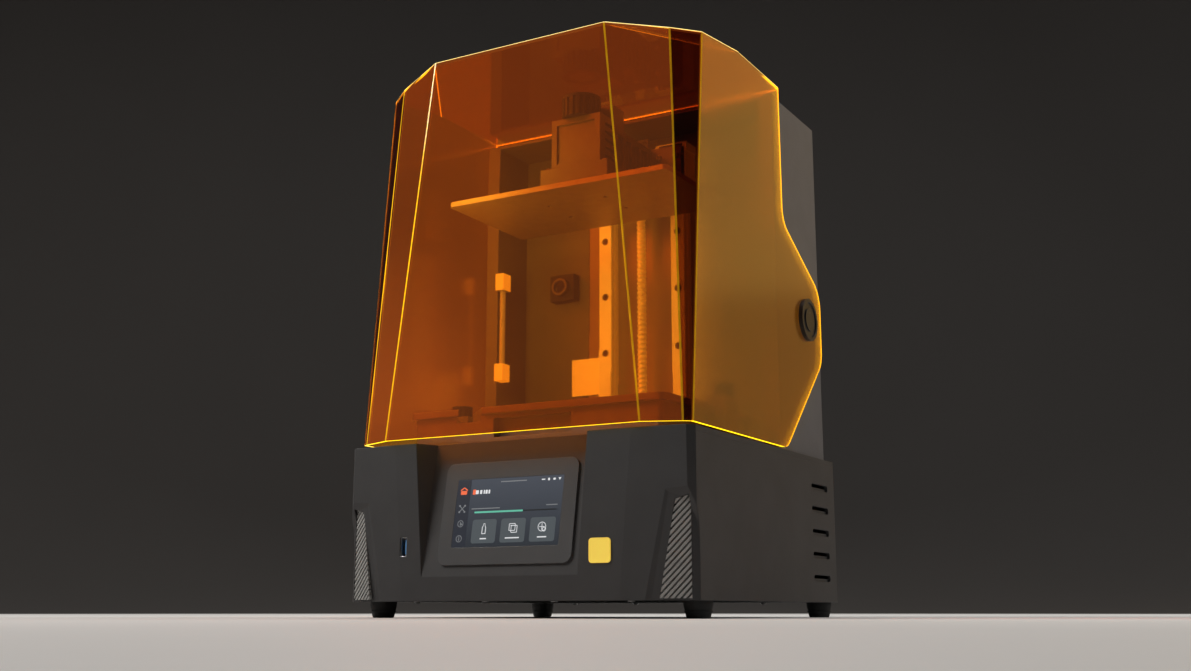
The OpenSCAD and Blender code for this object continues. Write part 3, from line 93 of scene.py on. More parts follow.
class Body(Enum):
    """Bodies that the added pieces ride on, by their names in the frame."""

    BASE = "base"
    HOOD = "hood"
    LIFT = "lift"
    CLAMP = "platform_clamp"
    SCREW = "screw"
    ROCKER = "rocker"


class Slot(Enum):
    """Material slots of the record, passed along with the added pieces."""

    AMBER = "amber_sheet"
    RUBBER = "black_rubber"
    PLASTIC = "black_plastic"
    DISPLAY = "display"
    PORT_BLUE = "port_blue"
    BADGE = "badge"
    GRILLE = "grille"
    SCREW_STEEL = "screw_steel"
    LCD = "lcd"
    RAIL = "rail_steel"
    VAT = "vat_alloy"
    ROCKER = "rocker_red"
    HINGE = "hinge_black"


# ---------------------------------------------------------------- finishes


@dataclass(frozen=True)
class Finish:
    """A surface made only of procedural nodes.

    Args:
        name: Name of the material.
        colour: Mean colour, linear.
        roughness: Mean roughness.
        metallic: Share of metal.
        mottle: Share by which the colour wanders over the surface.
        mottle_mm: Size of the wandering patches.
        grain: Strength of the fine relief.
        grain_mm: Size of the fine relief.
        stretch: Stretch of the relief along X, Y and Z, for brushed metal.
        spread: Half width of the roughness' wandering.
        coat: Weight of a clear coat.
        edge_mm: Radius by which sharp edges are softened in shading.
        glow: Strength of emitted light.
        glow_colour: Colour of emitted light.
        transmission: Share of light let through.
        ior: Index of refraction.
    """

    name: str
    colour: RGB
    roughness: float = 0.5
    metallic: float = 0.0
    mottle: float = 0.08
    mottle_mm: float = 18.0
    grain: float = 0.05
    grain_mm: float = 0.5
    stretch: RGB = (1.0, 1.0, 1.0)
    spread: float = 0.06
    coat: float = 0.0
    edge_mm: float = 0.5
    glow: float = 0.0
    glow_colour: RGB = (1.0, 1.0, 1.0)
    transmission: float = 0.0
    ior: float = 1.5

    def build(self) -> bpy.types.Material:
        """Makes the material on first use.

        Returns:
            The material.
        """
        made = bpy.data.materials.get(self.name)
        if made is not None:
            return made
        made = bpy.data.materials.new(self.name)
        made.use_nodes = True
        tree = made.node_tree
        nodes, link = tree.nodes, tree.links.new
        shader = nodes["Principled BSDF"]
        shader.inputs["Metallic"].default_value = self.metallic
        shader.inputs["IOR"].default_value = self.ior
        shader.inputs["Coat Weight"].default_value = self.coat
        shader.inputs["Coat Roughness"].default_value = COAT_ROUGHNESS
        shader.inputs["Transmission Weight"].default_value = self.transmission
        shader.inputs["Emission Strength"].default_value = self.glow
        shader.inputs["Emission Color"].default_value = (*self.glow_colour, 1.0)

        where = nodes.new("ShaderNodeTexCoord")
        patches = nodes.new("ShaderNodeTexNoise")
        patches.inputs["Scale"].default_value = 1.0 / (self.mottle_mm * MM)
        patches.inputs["Detail"].default_value = PATCH_DETAIL
        link(where.outputs["Object"], patches.inputs["Vector"])
        tint = nodes.new("ShaderNodeValToRGB")
        low, high = 1.0 - self.mottle, 1.0 + self.mottle
        tint.color_ramp.elements[0].position = PATCH_RAMP[0]
        tint.color_ramp.elements[1].position = PATCH_RAMP[1]
        tint.color_ramp.elements[0].color = (*[c * low for c in self.colour], 1.0)
        tint.color_ramp.elements[1].color = (*[min(1.0, c * high) for c in self.colour], 1.0)
        link(patches.outputs["Fac"], tint.inputs["Fac"])
        link(tint.outputs["Color"], shader.inputs["Base Color"])

        lay = nodes.new("ShaderNodeMapping")
        lay.inputs["Scale"].default_value = [s / (self.grain_mm * MM) for s in self.stretch]
        link(where.outputs["Object"], lay.inputs["Vector"])
        relief = nodes.new("ShaderNodeTexNoise")
        relief.inputs["Scale"].default_value = 1.0
        relief.inputs["Detail"].default_value = RELIEF_DETAIL
        link(lay.outputs["Vector"], relief.inputs["Vector"])
        sheen = nodes.new("ShaderNodeMapRange")
        sheen.inputs["To Min"].default_value = max(0.0, self.roughness - self.spread)
        sheen.inputs["To Max"].default_value = min(1.0, self.roughness + self.spread)
        link(relief.outputs["Fac"], sheen.inputs["Value"])
        link(sheen.outputs["Result"], shader.inputs["Roughness"])
        bump = nodes.new("ShaderNodeBump")
        bump.inputs["Strength"].default_value = self.grain
        bump.inputs["Distance"].default_value = RELIEF_MM * MM
        link(relief.outputs["Fac"], bump.inputs["Height"])
        if self.edge_mm > 0:
            soft = nodes.new("ShaderNodeBevel")
            soft.samples = EDGE_SAMPLES
            soft.inputs["Radius"].default_value = self.edge_mm * MM
            link(soft.outputs["Normal"], bump.inputs["Normal"])
        link(bump.outputs["Normal"], shader.inputs["Normal"])
        self.extend(tree, shader)
        return made

    def extend(self, tree: bpy.types.NodeTree, shader: bpy.types.Node) -> None:
        """Hook for finishes that add nodes of their own.

        Args:
            tree: Node tree of the material.
            shader: Its principled shader.
        """


@dataclass(frozen=True)
class PaintedGlowPool:
    """Place near the lamp round which a painted glow is strongest.

    Args:
        at: The place, in millimetres.
        reach: Distance over which the glow fades, in millimetres.
        gain: Factor of the glow at the place.
    """

    at: Point3
    reach: float
    gain: float


def paint_glow_pool(tree: bpy.types.NodeTree, shader: bpy.types.Node, glow: float, glow_pool: PaintedGlowPool) -> None:
    """Paints a pool of glow that is stronger near a place.

    Args:
        tree: Node tree of the material.
        shader: Its principled shader.
        glow: Strength of the glow far from the place.
        glow_pool: The place.
    """
    if glow <= 0:
        return
    nodes, link = tree.nodes, tree.links.new
    where = nodes.new("ShaderNodeTexCoord")
    span = nodes.new("ShaderNodeVectorMath")
    span.operation = "DISTANCE"
    span.inputs[1].default_value = [c * MM for c in glow_pool.at]
    link(where.outputs["Object"], span.inputs[0])
    fade = nodes.new("ShaderNodeMapRange")
    fade.interpolation_type = "SMOOTHSTEP"
    fade.inputs["From Min"].default_value = 0.0
    fade.inputs["From Max"].default_value = glow_pool.reach * MM
    fade.inputs["To Min"].default_value = glow * glow_pool.gain
    fade.inputs["To Max"].default_value = glow
    link(span.outputs["Value"], fade.inputs["Value"])
    # painted glow: emission that falls off with distance from a point, laid on the surface rather than
    # cast by a lamp
    link(fade.outputs["Result"], shader.inputs["Emission Strength"])


@dataclass(frozen=True)
class PaintedGlowSeam(Finish):
    """Polished seam between panes with a painted glow, strongest near the lamp's side.

    Args:
        glow_pool: Where the seam's painted glow is strongest.
    """

    # painted glow pool: the seams glow up to eleven times brighter near the lamp's side, at the left
    # front
    glow_pool: PaintedGlowPool = PaintedGlowPool((-165.0, -150.0, 330.0), 290.0, 11.0)

    def extend(self, tree: bpy.types.NodeTree, shader: bpy.types.Node) -> None:
        """Adds the painted glow that fades with the distance.

        Args:
            tree: Node tree of the material.
            shader: Its principled shader.
        """
        paint_glow_pool(tree, shader, self.glow, self.glow_pool)


@dataclass(frozen=True)
class TintedSheet(Finish):
    """Clear tinted sheet with a painted glow, which also tints the light falling through it.

    Args:
        shade: Colour that light takes on when it passes the sheet.
        glow_pool: Where the sheet's painted glow is strongest.
    """

    shade: RGB = (1.0, 0.5, 0.15)
    # painted glow pool: the sheet glows up to 2.6 times brighter near the lamp's side, low on the left
    glow_pool: PaintedGlowPool = PaintedGlowPool((-165.0, -60.0, 170.0), 230.0, 2.6)

    def extend(self, tree: bpy.types.NodeTree, shader: bpy.types.Node) -> None:
        """Adds the painted glow and lets tinted light through for shadows.

        Args:
            tree: Node tree of the material.
            shader: Its principled shader.
        """
        nodes, link = tree.nodes, tree.links.new
        paint_glow_pool(tree, shader, self.glow, self.glow_pool)
        path = nodes.new("ShaderNodeLightPath")
        clear = nodes.new("ShaderNodeBsdfTransparent")
        clear.inputs["Color"].default_value = (*self.shade, 1.0)
        mix = nodes.new("ShaderNodeMixShader")
        link(path.outputs["Is Shadow Ray"], mix.inputs["Fac"])
        link(shader.outputs["BSDF"], mix.inputs[1])
        link(clear.outputs["BSDF"], mix.inputs[2])
        link(mix.outputs["Shader"], nodes["Material Output"].inputs["Surface"])


def height_ramp(tree: bpy.types.NodeTree, shader: bpy.types.Node, low_z: float,
                high_z: float) -> bpy.types.ColorRamp:
    """Makes the emitted colour follow a ramp over height.

    Args:
        tree: Node tree of the material.
        shader: Its principled shader.
        low_z: Height of the ramp's start, in millimetres.
        high_z: Height of the ramp's end, in millimetres.

    Returns:
        The ramp, for its colours to be set.
    """
    nodes, link = tree.nodes, tree.links.new
    where = nodes.new("ShaderNodeTexCoord")
    split = nodes.new("ShaderNodeSeparateXYZ")
    link(where.outputs["Object"], split.inputs["Vector"])
    span = nodes.new("ShaderNodeMapRange")
    span.inputs["From Min"].default_value = low_z * MM
    span.inputs["From Max"].default_value = high_z * MM
    link(split.outputs["Z"], span.inputs["Value"])
    ramp = nodes.new("ShaderNodeValToRGB")
    link(span.outputs["Result"], ramp.inputs["Fac"])
    link(ramp.outputs["Color"], shader.inputs["Emission Color"])
    return ramp.color_ramp


@dataclass(frozen=True)
class LitPanel(Finish):
    """Lit screen whose background runs from one colour at its foot to another at its top.

    Args:
        foot: Colour at the foot.
        top: Colour at the top.
        low_z: Height of the foot, in millimetres.
        high_z: Height of the top, in millimetres.
    """

    foot: RGB = (0.02, 0.03, 0.04)
    top: RGB = (0.05, 0.06, 0.08)
    low_z: float = 0.0
    high_z: float = 100.0

    def extend(self, tree: bpy.types.NodeTree, shader: bpy.types.Node) -> None:
        """Adds the glow that changes with height.

        Args:
            tree: Node tree of the material.
            shader: Its principled shader.
        """
        ramp = height_ramp(tree, shader, self.low_z, self.high_z)
        ramp.elements[0].color = (*self.foot, 1.0)
        ramp.elements[1].color = (*self.top, 1.0)


@dataclass(frozen=True)
class LampBar(Finish):
    """Lamp whose end blocks shine and whose rod only glimmers.

    Args:
        low_z: Height of the foot, in millimetres.
        high_z: Height of the top, in millimetres.
        block: Height of an end block, in millimetres.
        bright: Colour emitted by the blocks.
        dim: Colour emitted by the rod.
    """

    low_z: float = 0.0
    high_z: float = 100.0
    block: float = 18.0
    bright: RGB = (0.85, 0.50, 0.16)
    dim: RGB = (0.06, 0.05, 0.04)

    def extend(self, tree: bpy.types.NodeTree, shader: bpy.types.Node) -> None:
        """Adds the glow that changes from block to rod.

        Args:
            tree: Node tree of the material.
            shader: Its principled shader.
        """
        ramp = height_ramp(tree, shader, self.low_z, self.high_z)
        ramp.interpolation = "CONSTANT"
        share = self.block / (self.high_z - self.low_z)
        ramp.elements[0].color = (*self.bright, 1.0)
        ramp.elements[1].position = 1.0 - share
        ramp.elements[1].color = (*self.bright, 1.0)
        ramp.elements.new(share).color = (*self.dim, 1.0)


def lit_mark(name: str, colour: RGB, strength: float = 1.0) -> Finish:
    """A small lit mark of a screen.

    Args:
        name: Name of the material.
        colour: Emitted colour, linear.
        strength: Strength of the emission.

    Returns:
        The finish.
    """
    return Finish(name, tuple(0.3 * c for c in colour), 0.3, mottle=0.04, mottle_mm=4, grain=0.0,
                  edge_mm=0.0, glow=strength, glow_colour=colour)


CLEAR_SHEET: dict[str, float] = {
    "mottle": 0.02, "mottle_mm": 60, "grain": 0.010, "grain_mm": 40, "spread": 0.015, "edge_mm": 0.0,
    "transmission": 1.0, "ior": 1.49}


class Palette:
    """All finishes of the printer."""

    SHELL = Finish("shell_paint", (0.040, 0.039, 0.040), 0.62, mottle=0.10, mottle_mm=30, grain=0.14,
                   grain_mm=0.6, edge_mm=0.9)
    MOULDING = Finish("front_moulding", (0.034, 0.0335, 0.0345), 0.60, mottle=0.10, mottle_mm=26,
                      grain=0.13,
                      grain_mm=0.6, edge_mm=1.2)
    TOWER = Finish("tower_powder_coat", (0.092, 0.093, 0.099), 0.55, mottle=0.07, mottle_mm=24,
                   grain=0.10,
                   grain_mm=0.9, edge_mm=0.9)
    # painted glow: the amber sheet emits a faint even glow, brighter near the lamp's side
    AMBER = TintedSheet("amber_acrylic", (0.88, 0.35, 0.018), 0.03, **CLEAR_SHEET,
                        glow=0.034, glow_colour=(1.0, 0.29, 0.10), shade=(0.95, 0.46, 0.13))
    # painted sheen: the side panes' copy of the amber glows more golden; its higher roughness blurs the
    # real reflections
    AMBER_SIDE = TintedSheet("amber_side_painted_sheen", (0.88, 0.38, 0.02), 0.16, **CLEAR_SHEET,
                             glow=0.030, glow_colour=(1.0, 0.46, 0.08), shade=(0.95, 0.50, 0.14))
    # painted shade: the narrow facets get a much darker copy of the amber, with no glow
    AMBER_PAINTED_SHADE = TintedSheet("amber_narrow_facet_shade", (0.24, 0.045, 0.003), 0.03, **CLEAR_SHEET,
                             shade=(0.95, 0.46, 0.13))
    # painted highlight: the cut edges glow bright yellow, though no lamp lights them
    AMBER_EDGE = Finish("amber_cut_edge", (0.95, 0.50, 0.01), 0.25, mottle=0.15, mottle_mm=9, grain=0.10,
                        grain_mm=1.0, edge_mm=0.3, glow=2.1, glow_colour=(1.0, 0.66, 0.008))
    # painted highlight: the seams along the top emit a pale yellow glow
    AMBER_CREST = Finish("amber_top_seam", (0.98, 0.80, 0.40), 0.10, mottle=0.2, mottle_mm=14,
                         grain=0.02,
                         grain_mm=2.0, edge_mm=0.0, glow=1.15, glow_colour=(1.0, 0.74, 0.22),
                         transmission=0.3)
    # painted glow: the seams between panes emit amber light that fades away from the lamp's side
    AMBER_SEAM = PaintedGlowSeam("amber_seam_painted_glow", (0.95, 0.48, 0.01), 0.12, mottle=0.2, mottle_mm=14,
                          grain=0.02,
                        grain_mm=2.0, edge_mm=0.0, glow=0.10, glow_colour=(1.0, 0.52, 0.006),
                          transmission=0.4)
    RUBBER = Finish("foot_rubber", (0.018, 0.018, 0.018), 0.78, mottle=0.15, mottle_mm=6, grain=0.3,
                    grain_mm=0.4)
    PLASTIC = Finish("black_plastic", (0.020, 0.020, 0.021), 0.48, mottle=0.1, mottle_mm=10, grain=0.15,
                     grain_mm=0.3)
    HINGE = Finish("hinge_plastic", (0.017, 0.017, 0.018), 0.42, mottle=0.12, mottle_mm=8, grain=0.12,
                   grain_mm=0.3, edge_mm=0.8)
    HINGE_DISC = Finish("hinge_disc", (0.12, 0.12, 0.10), 0.35, metallic=0.5, mottle=0.1, mottle_mm=6,
                        grain=0.08, grain_mm=0.3, stretch=(1, 1, 6))
    GLASS = Finish("touch_glass", (0.105, 0.108, 0.112), 0.16, mottle=0.05, mottle_mm=40, grain=0.0,
                   spread=0.03, coat=0.6, edge_mm=0.5)
    STEEL = Finish("bright_steel", (0.62, 0.62, 0.63), 0.28, metallic=1.0, mottle=0.05, mottle_mm=5,
                   grain=0.1, grain_mm=0.2, stretch=(1, 1, 8))
    SCREW_STEEL = Finish("zinc_steel", (0.45, 0.45, 0.46), 0.36, metallic=1.0, mottle=0.08, mottle_mm=3,
                         grain=0.1, grain_mm=0.25, edge_mm=0.25)
    # painted glow: the rails, carriages, nut and screw emit a faint yellowish light on top of their
    # steel
    RAIL = Finish("ground_rail", (0.88, 0.86, 0.80), 0.30, metallic=0.25, mottle=0.04, mottle_mm=12,
                  glow=0.12, glow_colour=(1.0, 0.9, 0.5),
                  grain=0.10, grain_mm=0.25, stretch=(4, 4, 0.15), edge_mm=0.3)
    BLUE = Finish("port_blue", (0.16, 0.45, 0.78), 0.45, mottle=0.05, mottle_mm=3, grain=0.05)
    # painted glow: the badge emits a faint yellow light, though it is no lamp
    BADGE = Finish("badge_yellow", (0.95, 0.70, 0.10), 0.38, mottle=0.03, mottle_mm=7, grain=0.05,
                   grain_mm=0.3, coat=0.2, edge_mm=0.3, glow=0.40, glow_colour=(0.95, 0.68, 0.10))
    GRILLE = Finish("grille_slats", (0.33, 0.33, 0.32), 0.55, mottle=0.08, mottle_mm=8, grain=0.15,
                    grain_mm=0.4, edge_mm=0.3)
    # Near-black for printed marks, and for the painted-shade sheets behind the grilles.
    DARK = Finish("dark_inside", (0.006, 0.006, 0.006), 0.8, mottle=0.2, mottle_mm=15, grain=0.1)
    LCD = Finish("exposure_glass", (0.010, 0.010, 0.014), 0.08, mottle=0.1, mottle_mm=30, grain=0.0,
                 spread=0.02, coat=0.5, edge_mm=0.2)
    ENGINE = Finish("engine_sheet", (0.50, 0.50, 0.52), 0.42, metallic=0.9, mottle=0.05, mottle_mm=20,
                    grain=0.1, grain_mm=0.4)
    BOARD = Finish("circuit_board", (0.015, 0.11, 0.045), 0.38, mottle=0.25, mottle_mm=4, grain=0.12,
                   grain_mm=0.9, coat=0.3, edge_mm=0.1)
    SPINE = Finish("spine_alloy", (0.30, 0.30, 0.31), 0.40, metallic=0.85, mottle=0.05, mottle_mm=20,
                   grain=0.12, grain_mm=0.3, stretch=(3, 3, 0.2))
    ARM = Finish("arm_anodised", (0.16, 0.16, 0.165), 0.42, metallic=0.7, mottle=0.07, mottle_mm=12,
                 grain=0.15, grain_mm=0.3, edge_mm=0.8)
    PLATFORM = Finish("platform_blasted", (0.42, 0.42, 0.43), 0.50, metallic=0.8, mottle=0.06,
                      mottle_mm=10,
                      grain=0.10, grain_mm=0.8, edge_mm=0.6)
    VAT = Finish("vat_milled", (0.34, 0.34, 0.35), 0.40, metallic=0.8, mottle=0.06, mottle_mm=14,
                 grain=0.14, grain_mm=0.3, stretch=(0.3, 3, 3), edge_mm=0.8)
    FILM = Finish("release_film", (0.75, 0.80, 0.85), 0.12, mottle=0.03, mottle_mm=30, grain=0.02,
                  grain_mm=12, transmission=0.9, ior=1.35, edge_mm=0.0)
    ROCKER = Finish("rocker_red", (0.42, 0.02, 0.02), 0.32, mottle=0.05, mottle_mm=4, grain=0.05,
                    coat=0.3)
    LAMP = LampBar("lamp_diffuser", (0.34, 0.31, 0.27), 0.35, mottle=0.04, mottle_mm=6, grain=0.05,
                   glow=1.0, low_z=241.5, high_z=356.5, block=18.0)
    # painted glow: the label emits a yellowish light, though it is no lamp
    LABEL = Finish("bare_label", (0.80, 0.70, 0.55), 0.42, mottle=0.06, mottle_mm=9, grain=0.06,
                   glow=0.30, glow_colour=(1.0, 0.70, 0.3))
    WHITE = Finish("mark_white", (0.7, 0.7, 0.7), 0.5, mottle=0.04, mottle_mm=3, grain=0.05, edge_mm=0.0)
    BRASS = Finish("brass_pins", (0.78, 0.57, 0.22), 0.3, metallic=1.0, mottle=0.05, mottle_mm=3,
                   grain=0.08)
    LENS = Finish("camera_lens", (0.01, 0.01, 0.02), 0.05, mottle=0.1, mottle_mm=3, grain=0.0, coat=1.0)
    FLOOR = Finish("studio_floor", (0.72, 0.71, 0.69), 0.6, mottle=0.02, mottle_mm=400, grain=0.03,
                   grain_mm=3, edge_mm=0.0)
    WALL = Finish("studio_wall", (0.060, 0.055, 0.052), 0.8, mottle=0.02, mottle_mm=400, grain=0.03,
                  grain_mm=3, edge_mm=0.0)


# ---------------------------------------------------------------- mesh building


def round_turn(sides: int) -> list[float]:
    """Evenly spaced angles of one turn, in radians."""
    return [2 * math.pi * i / sides for i in range(sides)]


class Shape:
    """Mesh under construction, in millimetres."""

    def __init__(self) -> None:
        """Starts an empty mesh."""
        self.bm = bmesh.new()

    def prism(self, outline: Sequence[Point2], low: float, high: float, place: Matrix | None = None,
              bevel: float = 0.0) -> "Shape":
        """Adds a prism over an outline in the local XY plane.

        Args:
            outline: Corners in order.
            low: Local Z of the bottom.
            high: Local Z of the top.
            place: Local to row frame, in millimetres.
            bevel: Width of the bevel round the top.

        Returns:
            This shape.
        """
        made = bmesh.new()
        lower = [made.verts.new((x, y, low)) for x, y in outline]
        upper = [made.verts.new((x, y, high)) for x, y in outline]
        made.faces.new(list(reversed(lower)))
        top = made.faces.new(upper)
        count = len(outline)
        for i in range(count):
            j = (i + 1) % count
            made.faces.new((lower[i], lower[j], upper[j], upper[i]))
        if bevel > 0:
            bmesh.ops.bevel(made, geom=list(top.edges), offset=bevel, segments=2, profile=0.5,
                            affect="EDGES", clamp_overlap=True)
        return self._merge(made, place)

    def frame(self, outline: Sequence[Point2], hole: Sequence[Point2], low: float, high: float,
              place: Matrix | None = None) -> "Shape":
        """Adds a ring between two outlines that have the same number of corners.

        Args:
            outline: Outer corners in order.
            hole: Inner corners in the same order.
            low: Local Z of the bottom.
            high: Local Z of the top.
            place: Local to row frame, in millimetres.

        Returns:
            This shape.
        """
        made = bmesh.new()
        rings = [[made.verts.new((x, y, z)) for x, y in line]
                 for line, z in ((outline, low), (outline, high), (hole, high), (hole, low))]
        count = len(outline)
        for a, b in ((0, 1), (1, 2), (2, 3), (3, 0)):
            for i in range(count):
                j = (i + 1) % count
                made.faces.new((rings[a][i], rings[a][j], rings[b][j], rings[b][i]))
        return self._merge(made, place)

    def lathe(self, profile: Sequence[Point2], place: Matrix | None = None, sides: int = 48) -> "Shape":
        """Turns a profile of (radius, height) points round the local Z axis.

        Args:
            profile: Points from the first to the last height; a zero radius closes the end.
            place: Local to row frame, in millimetres.
            sides: Number of sides.

        Returns:
            This shape.
        """
        made = bmesh.new()
        rings: list[list[bmesh.types.BMVert]] = []
        for radius, height in profile:
            if radius <= 1e-6:
                rings.append([made.verts.new((0, 0, height))])
            else:
                rings.append([made.verts.new((radius * math.cos(a), radius * math.sin(a), height))
                              for a in round_turn(sides)])
        for a, b in zip(rings, rings[1:]):
            for i in range(sides):
                j = (i + 1) % sides
                if len(a) == 1 and len(b) > 1:
                    made.faces.new((a[0], b[j], b[i]))
                elif len(b) == 1 and len(a) > 1:
                    made.faces.new((a[i], a[j], b[0]))
                elif len(a) > 1 and len(b) > 1:
                    made.faces.new((a[i], a[j], b[j], b[i]))
        return self._merge(made, place)

    def screw_thread(self, radius: float, root: float, lead: float, low: float, high: float,
                     place: Matrix | None = None, sides: int = 24, per_turn: int = 12) -> "Shape":
        """Adds a rod with a round-bottomed helical groove.

        Args:
            radius: Outer radius.
            root: Radius at the bottom of the groove.
            lead: Advance of one turn.
            low: Local Z of the lower end.
            high: Local Z of the upper end.
            place: Local to row frame, in millimetres.
            sides: Sides round the rod.
            per_turn: Steps along one lead.

        Returns:
            This shape.
        """
        made = bmesh.new()
        steps = int((high - low) / lead * per_turn)
        rings = []
        for s in range(steps + 1):
            z = low + (high - low) * s / steps
            ring = []
            for i in range(sides):
                turn = 2 * math.pi * i / sides
                phase = ((z / lead - i / sides) % 1.0 - 0.5) * 2
                depth = math.sqrt(max(0.0, 1 - (phase / 0.72) ** 2))
                r = radius - (radius - root) * depth
                ring.append(made.verts.new((r * math.cos(turn), r * math.sin(turn), z)))
            rings.append(ring)
        for a, b in zip(rings, rings[1:]):
            for i in range(sides):
                j = (i + 1) % sides
                made.faces.new((a[i], a[j], b[j], b[i]))
        made.faces.new(list(reversed(rings[0])))
        made.faces.new(rings[-1])
        return self._merge(made, place)

    def pan_head(self, place: Matrix, radius: float = 3.0, height: float = 1.8,
                 sides: int = 24) -> "Shape":
        """Adds a domed screw head with a hexagonal socket, on the local XY plane.

        Args:
            place: Local to row frame, in millimetres.
            radius: Radius of the head.
            height: Height of the head.
            sides: Number of sides, a multiple of six.

        Returns:
            This shape.
        """
        made = bmesh.new()
        profile = [(radius, 0.0), (radius, height * 0.35), (radius * 0.86, height * 0.78),
                   (radius * 0.62, height)]
        rings = [[made.verts.new((r * math.cos(a), r * math.sin(a), z))
                  for a in round_turn(sides)] for r, z in profile]
        socket = radius * 0.45
        for z in (height, height * 0.35):
            ring = []
            for a in round_turn(sides):
                flat = math.cos(math.pi / 6) / math.cos((a % (math.pi / 3)) - math.pi / 6)
                ring.append(made.verts.new((socket * flat * math.cos(a), socket * flat * math.sin(a),
                                            z)))
            rings.append(ring)
        for a, b in zip(rings, rings[1:]):
            for i in range(sides):
                j = (i + 1) % sides
                made.faces.new((a[i], a[j], b[j], b[i]))
        made.faces.new(list(reversed(rings[0])))
        made.faces.new(rings[-1])
        return self._merge(made, place)

    def _merge(self, made: bmesh.types.BMesh, place: Matrix | None) -> "Shape":
        """Moves a mesh into place and joins it to this shape.

        Args:
            made: Mesh to take in; it is freed.
            place: Local to row frame, in millimetres.

        Returns:
            This shape.
        """
        bmesh.ops.recalc_face_normals(made, faces=made.faces[:])
        if place is not None:
            made.transform(place)
        part = bpy.data.meshes.new("part")
        made.to_mesh(part)
        made.free()
        self.bm.from_mesh(part)
        bpy.data.meshes.remove(part)
        return self

    def mesh(self, name: str, smooth: bool = False) -> bpy.types.Mesh:
        """Finishes the mesh in metres.

        Args:
            name: Name of the mesh.
            smooth: Whether faces are shaded smooth where they bend by under 35 degrees.

        Returns:
            The mesh.
        """
        self.bm.transform(Matrix.Scale(MM, 4))
        made = bpy.data.meshes.new(name)
        self.bm.to_mesh(made)
        self.bm.free()
        if smooth:
            made.polygons.foreach_set("use_smooth", [True] * len(made.polygons))
            made.set_sharp_from_angle(angle=math.radians(SMOOTH_UNDER))
        return made


def rounded_box(width: float, height: float, radius: float, steps: int = 5,
                at: Point2 = (0.0, 0.0)) -> list[Point2]:
    """Corners of a rectangle with rounded corners.

    Args:
        width: Size along the first axis.
        height: Size along the second axis.
        radius: Corner radius.
        steps: Segments per corner.
        at: Centre.

    Returns:
        Points in anticlockwise order.
    """
    radius = min(radius, width / 2 - 1e-3, height / 2 - 1e-3)
    points = []
    for k, (sx, sy) in enumerate(((1, 1), (-1, 1), (-1, -1), (1, -1))):
        cx, cy = sx * (width / 2 - radius), sy * (height / 2 - radius)
        for i in range(steps + 1):
            a = math.pi / 2 * (k + i / steps)
            points.append((at[0] + cx + radius * math.cos(a), at[1] + cy + radius * math.sin(a)))
    return points


def disc(radius: float, at: Point2 = (0.0, 0.0), sides: int = 32) -> list[Point2]:
    """Corners of a circle.

    Args:
        radius: Radius.
        at: Centre.
        sides: Number of corners.

    Returns:
        Points in anticlockwise order.
    """
    return [(at[0] + radius * math.cos(a), at[1] + radius * math.sin(a)) for a in round_turn(sides)]


def bar(start: Point2, end: Point2, width: float) -> list[Point2]:
    """Corners of a straight stroke.

    Args:
        start: First end.
        end: Second end.
        width: Stroke width.

    Returns:
        Points in order.
    """
    run = Vector((end[0] - start[0], end[1] - start[1])).normalized() * (width / 2)
    side = (-run.y, run.x)
    return [(start[0] + side[0], start[1] + side[1]), (start[0] - side[0], start[1] - side[1]),
            (end[0] - side[0], end[1] - side[1]), (end[0] + side[0], end[1] + side[1])]


def axes(origin: Sequence[float], x: Sequence[float], y: Sequence[float]) -> Matrix:
    """Local frame with the given X and Y directions; Z is their cross product.

    Args:
        origin: Origin in millimetres.
        x: Direction of local X.
        y: Direction of local Y.

    Returns:
        Local to row frame.
    """
    u, v = Vector(x).normalized(), Vector(y).normalized()
    w = u.cross(v)
    made = Matrix((u, v, w)).transposed().to_4x4()
    made.translation = Vector(origin)
    return made


FACE_FRONT = ((1, 0, 0), (0, 0, 1))
FACE_BACK = ((-1, 0, 0), (0, 0, 1))
FACE_RIGHT = ((0, 1, 0), (0, 0, 1))
FACE_LEFT = ((0, -1, 0), (0, 0, 1))
FACE_UP = ((1, 0, 0), (0, 1, 0))


@dataclass(frozen=True)
class Extent:
    """Box of a node in millimetres.

    Args:
        low: Lowest corner.
        high: Highest corner.
    """

    low: Vector
    high: Vector

    @classmethod
    def of(cls, *names: str) -> "Extent":
        """Box round the given nodes.

        Args:
            names: Node names.

        Returns:
            The box.
        """
        boxes = [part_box(n) for n in names]
        low = Vector([min(b[0][i] for b in boxes) / MM for i in range(3)])
        high = Vector([max(b[1][i] for b in boxes) / MM for i in range(3)])
        return cls(low, high)

    @property
    def mid(self) -> Vector:
        """Middle of the box."""
        return (self.low + self.high) / 2

    @property
    def size(self) -> Vector:
        """Size of the box."""
        return self.high - self.low


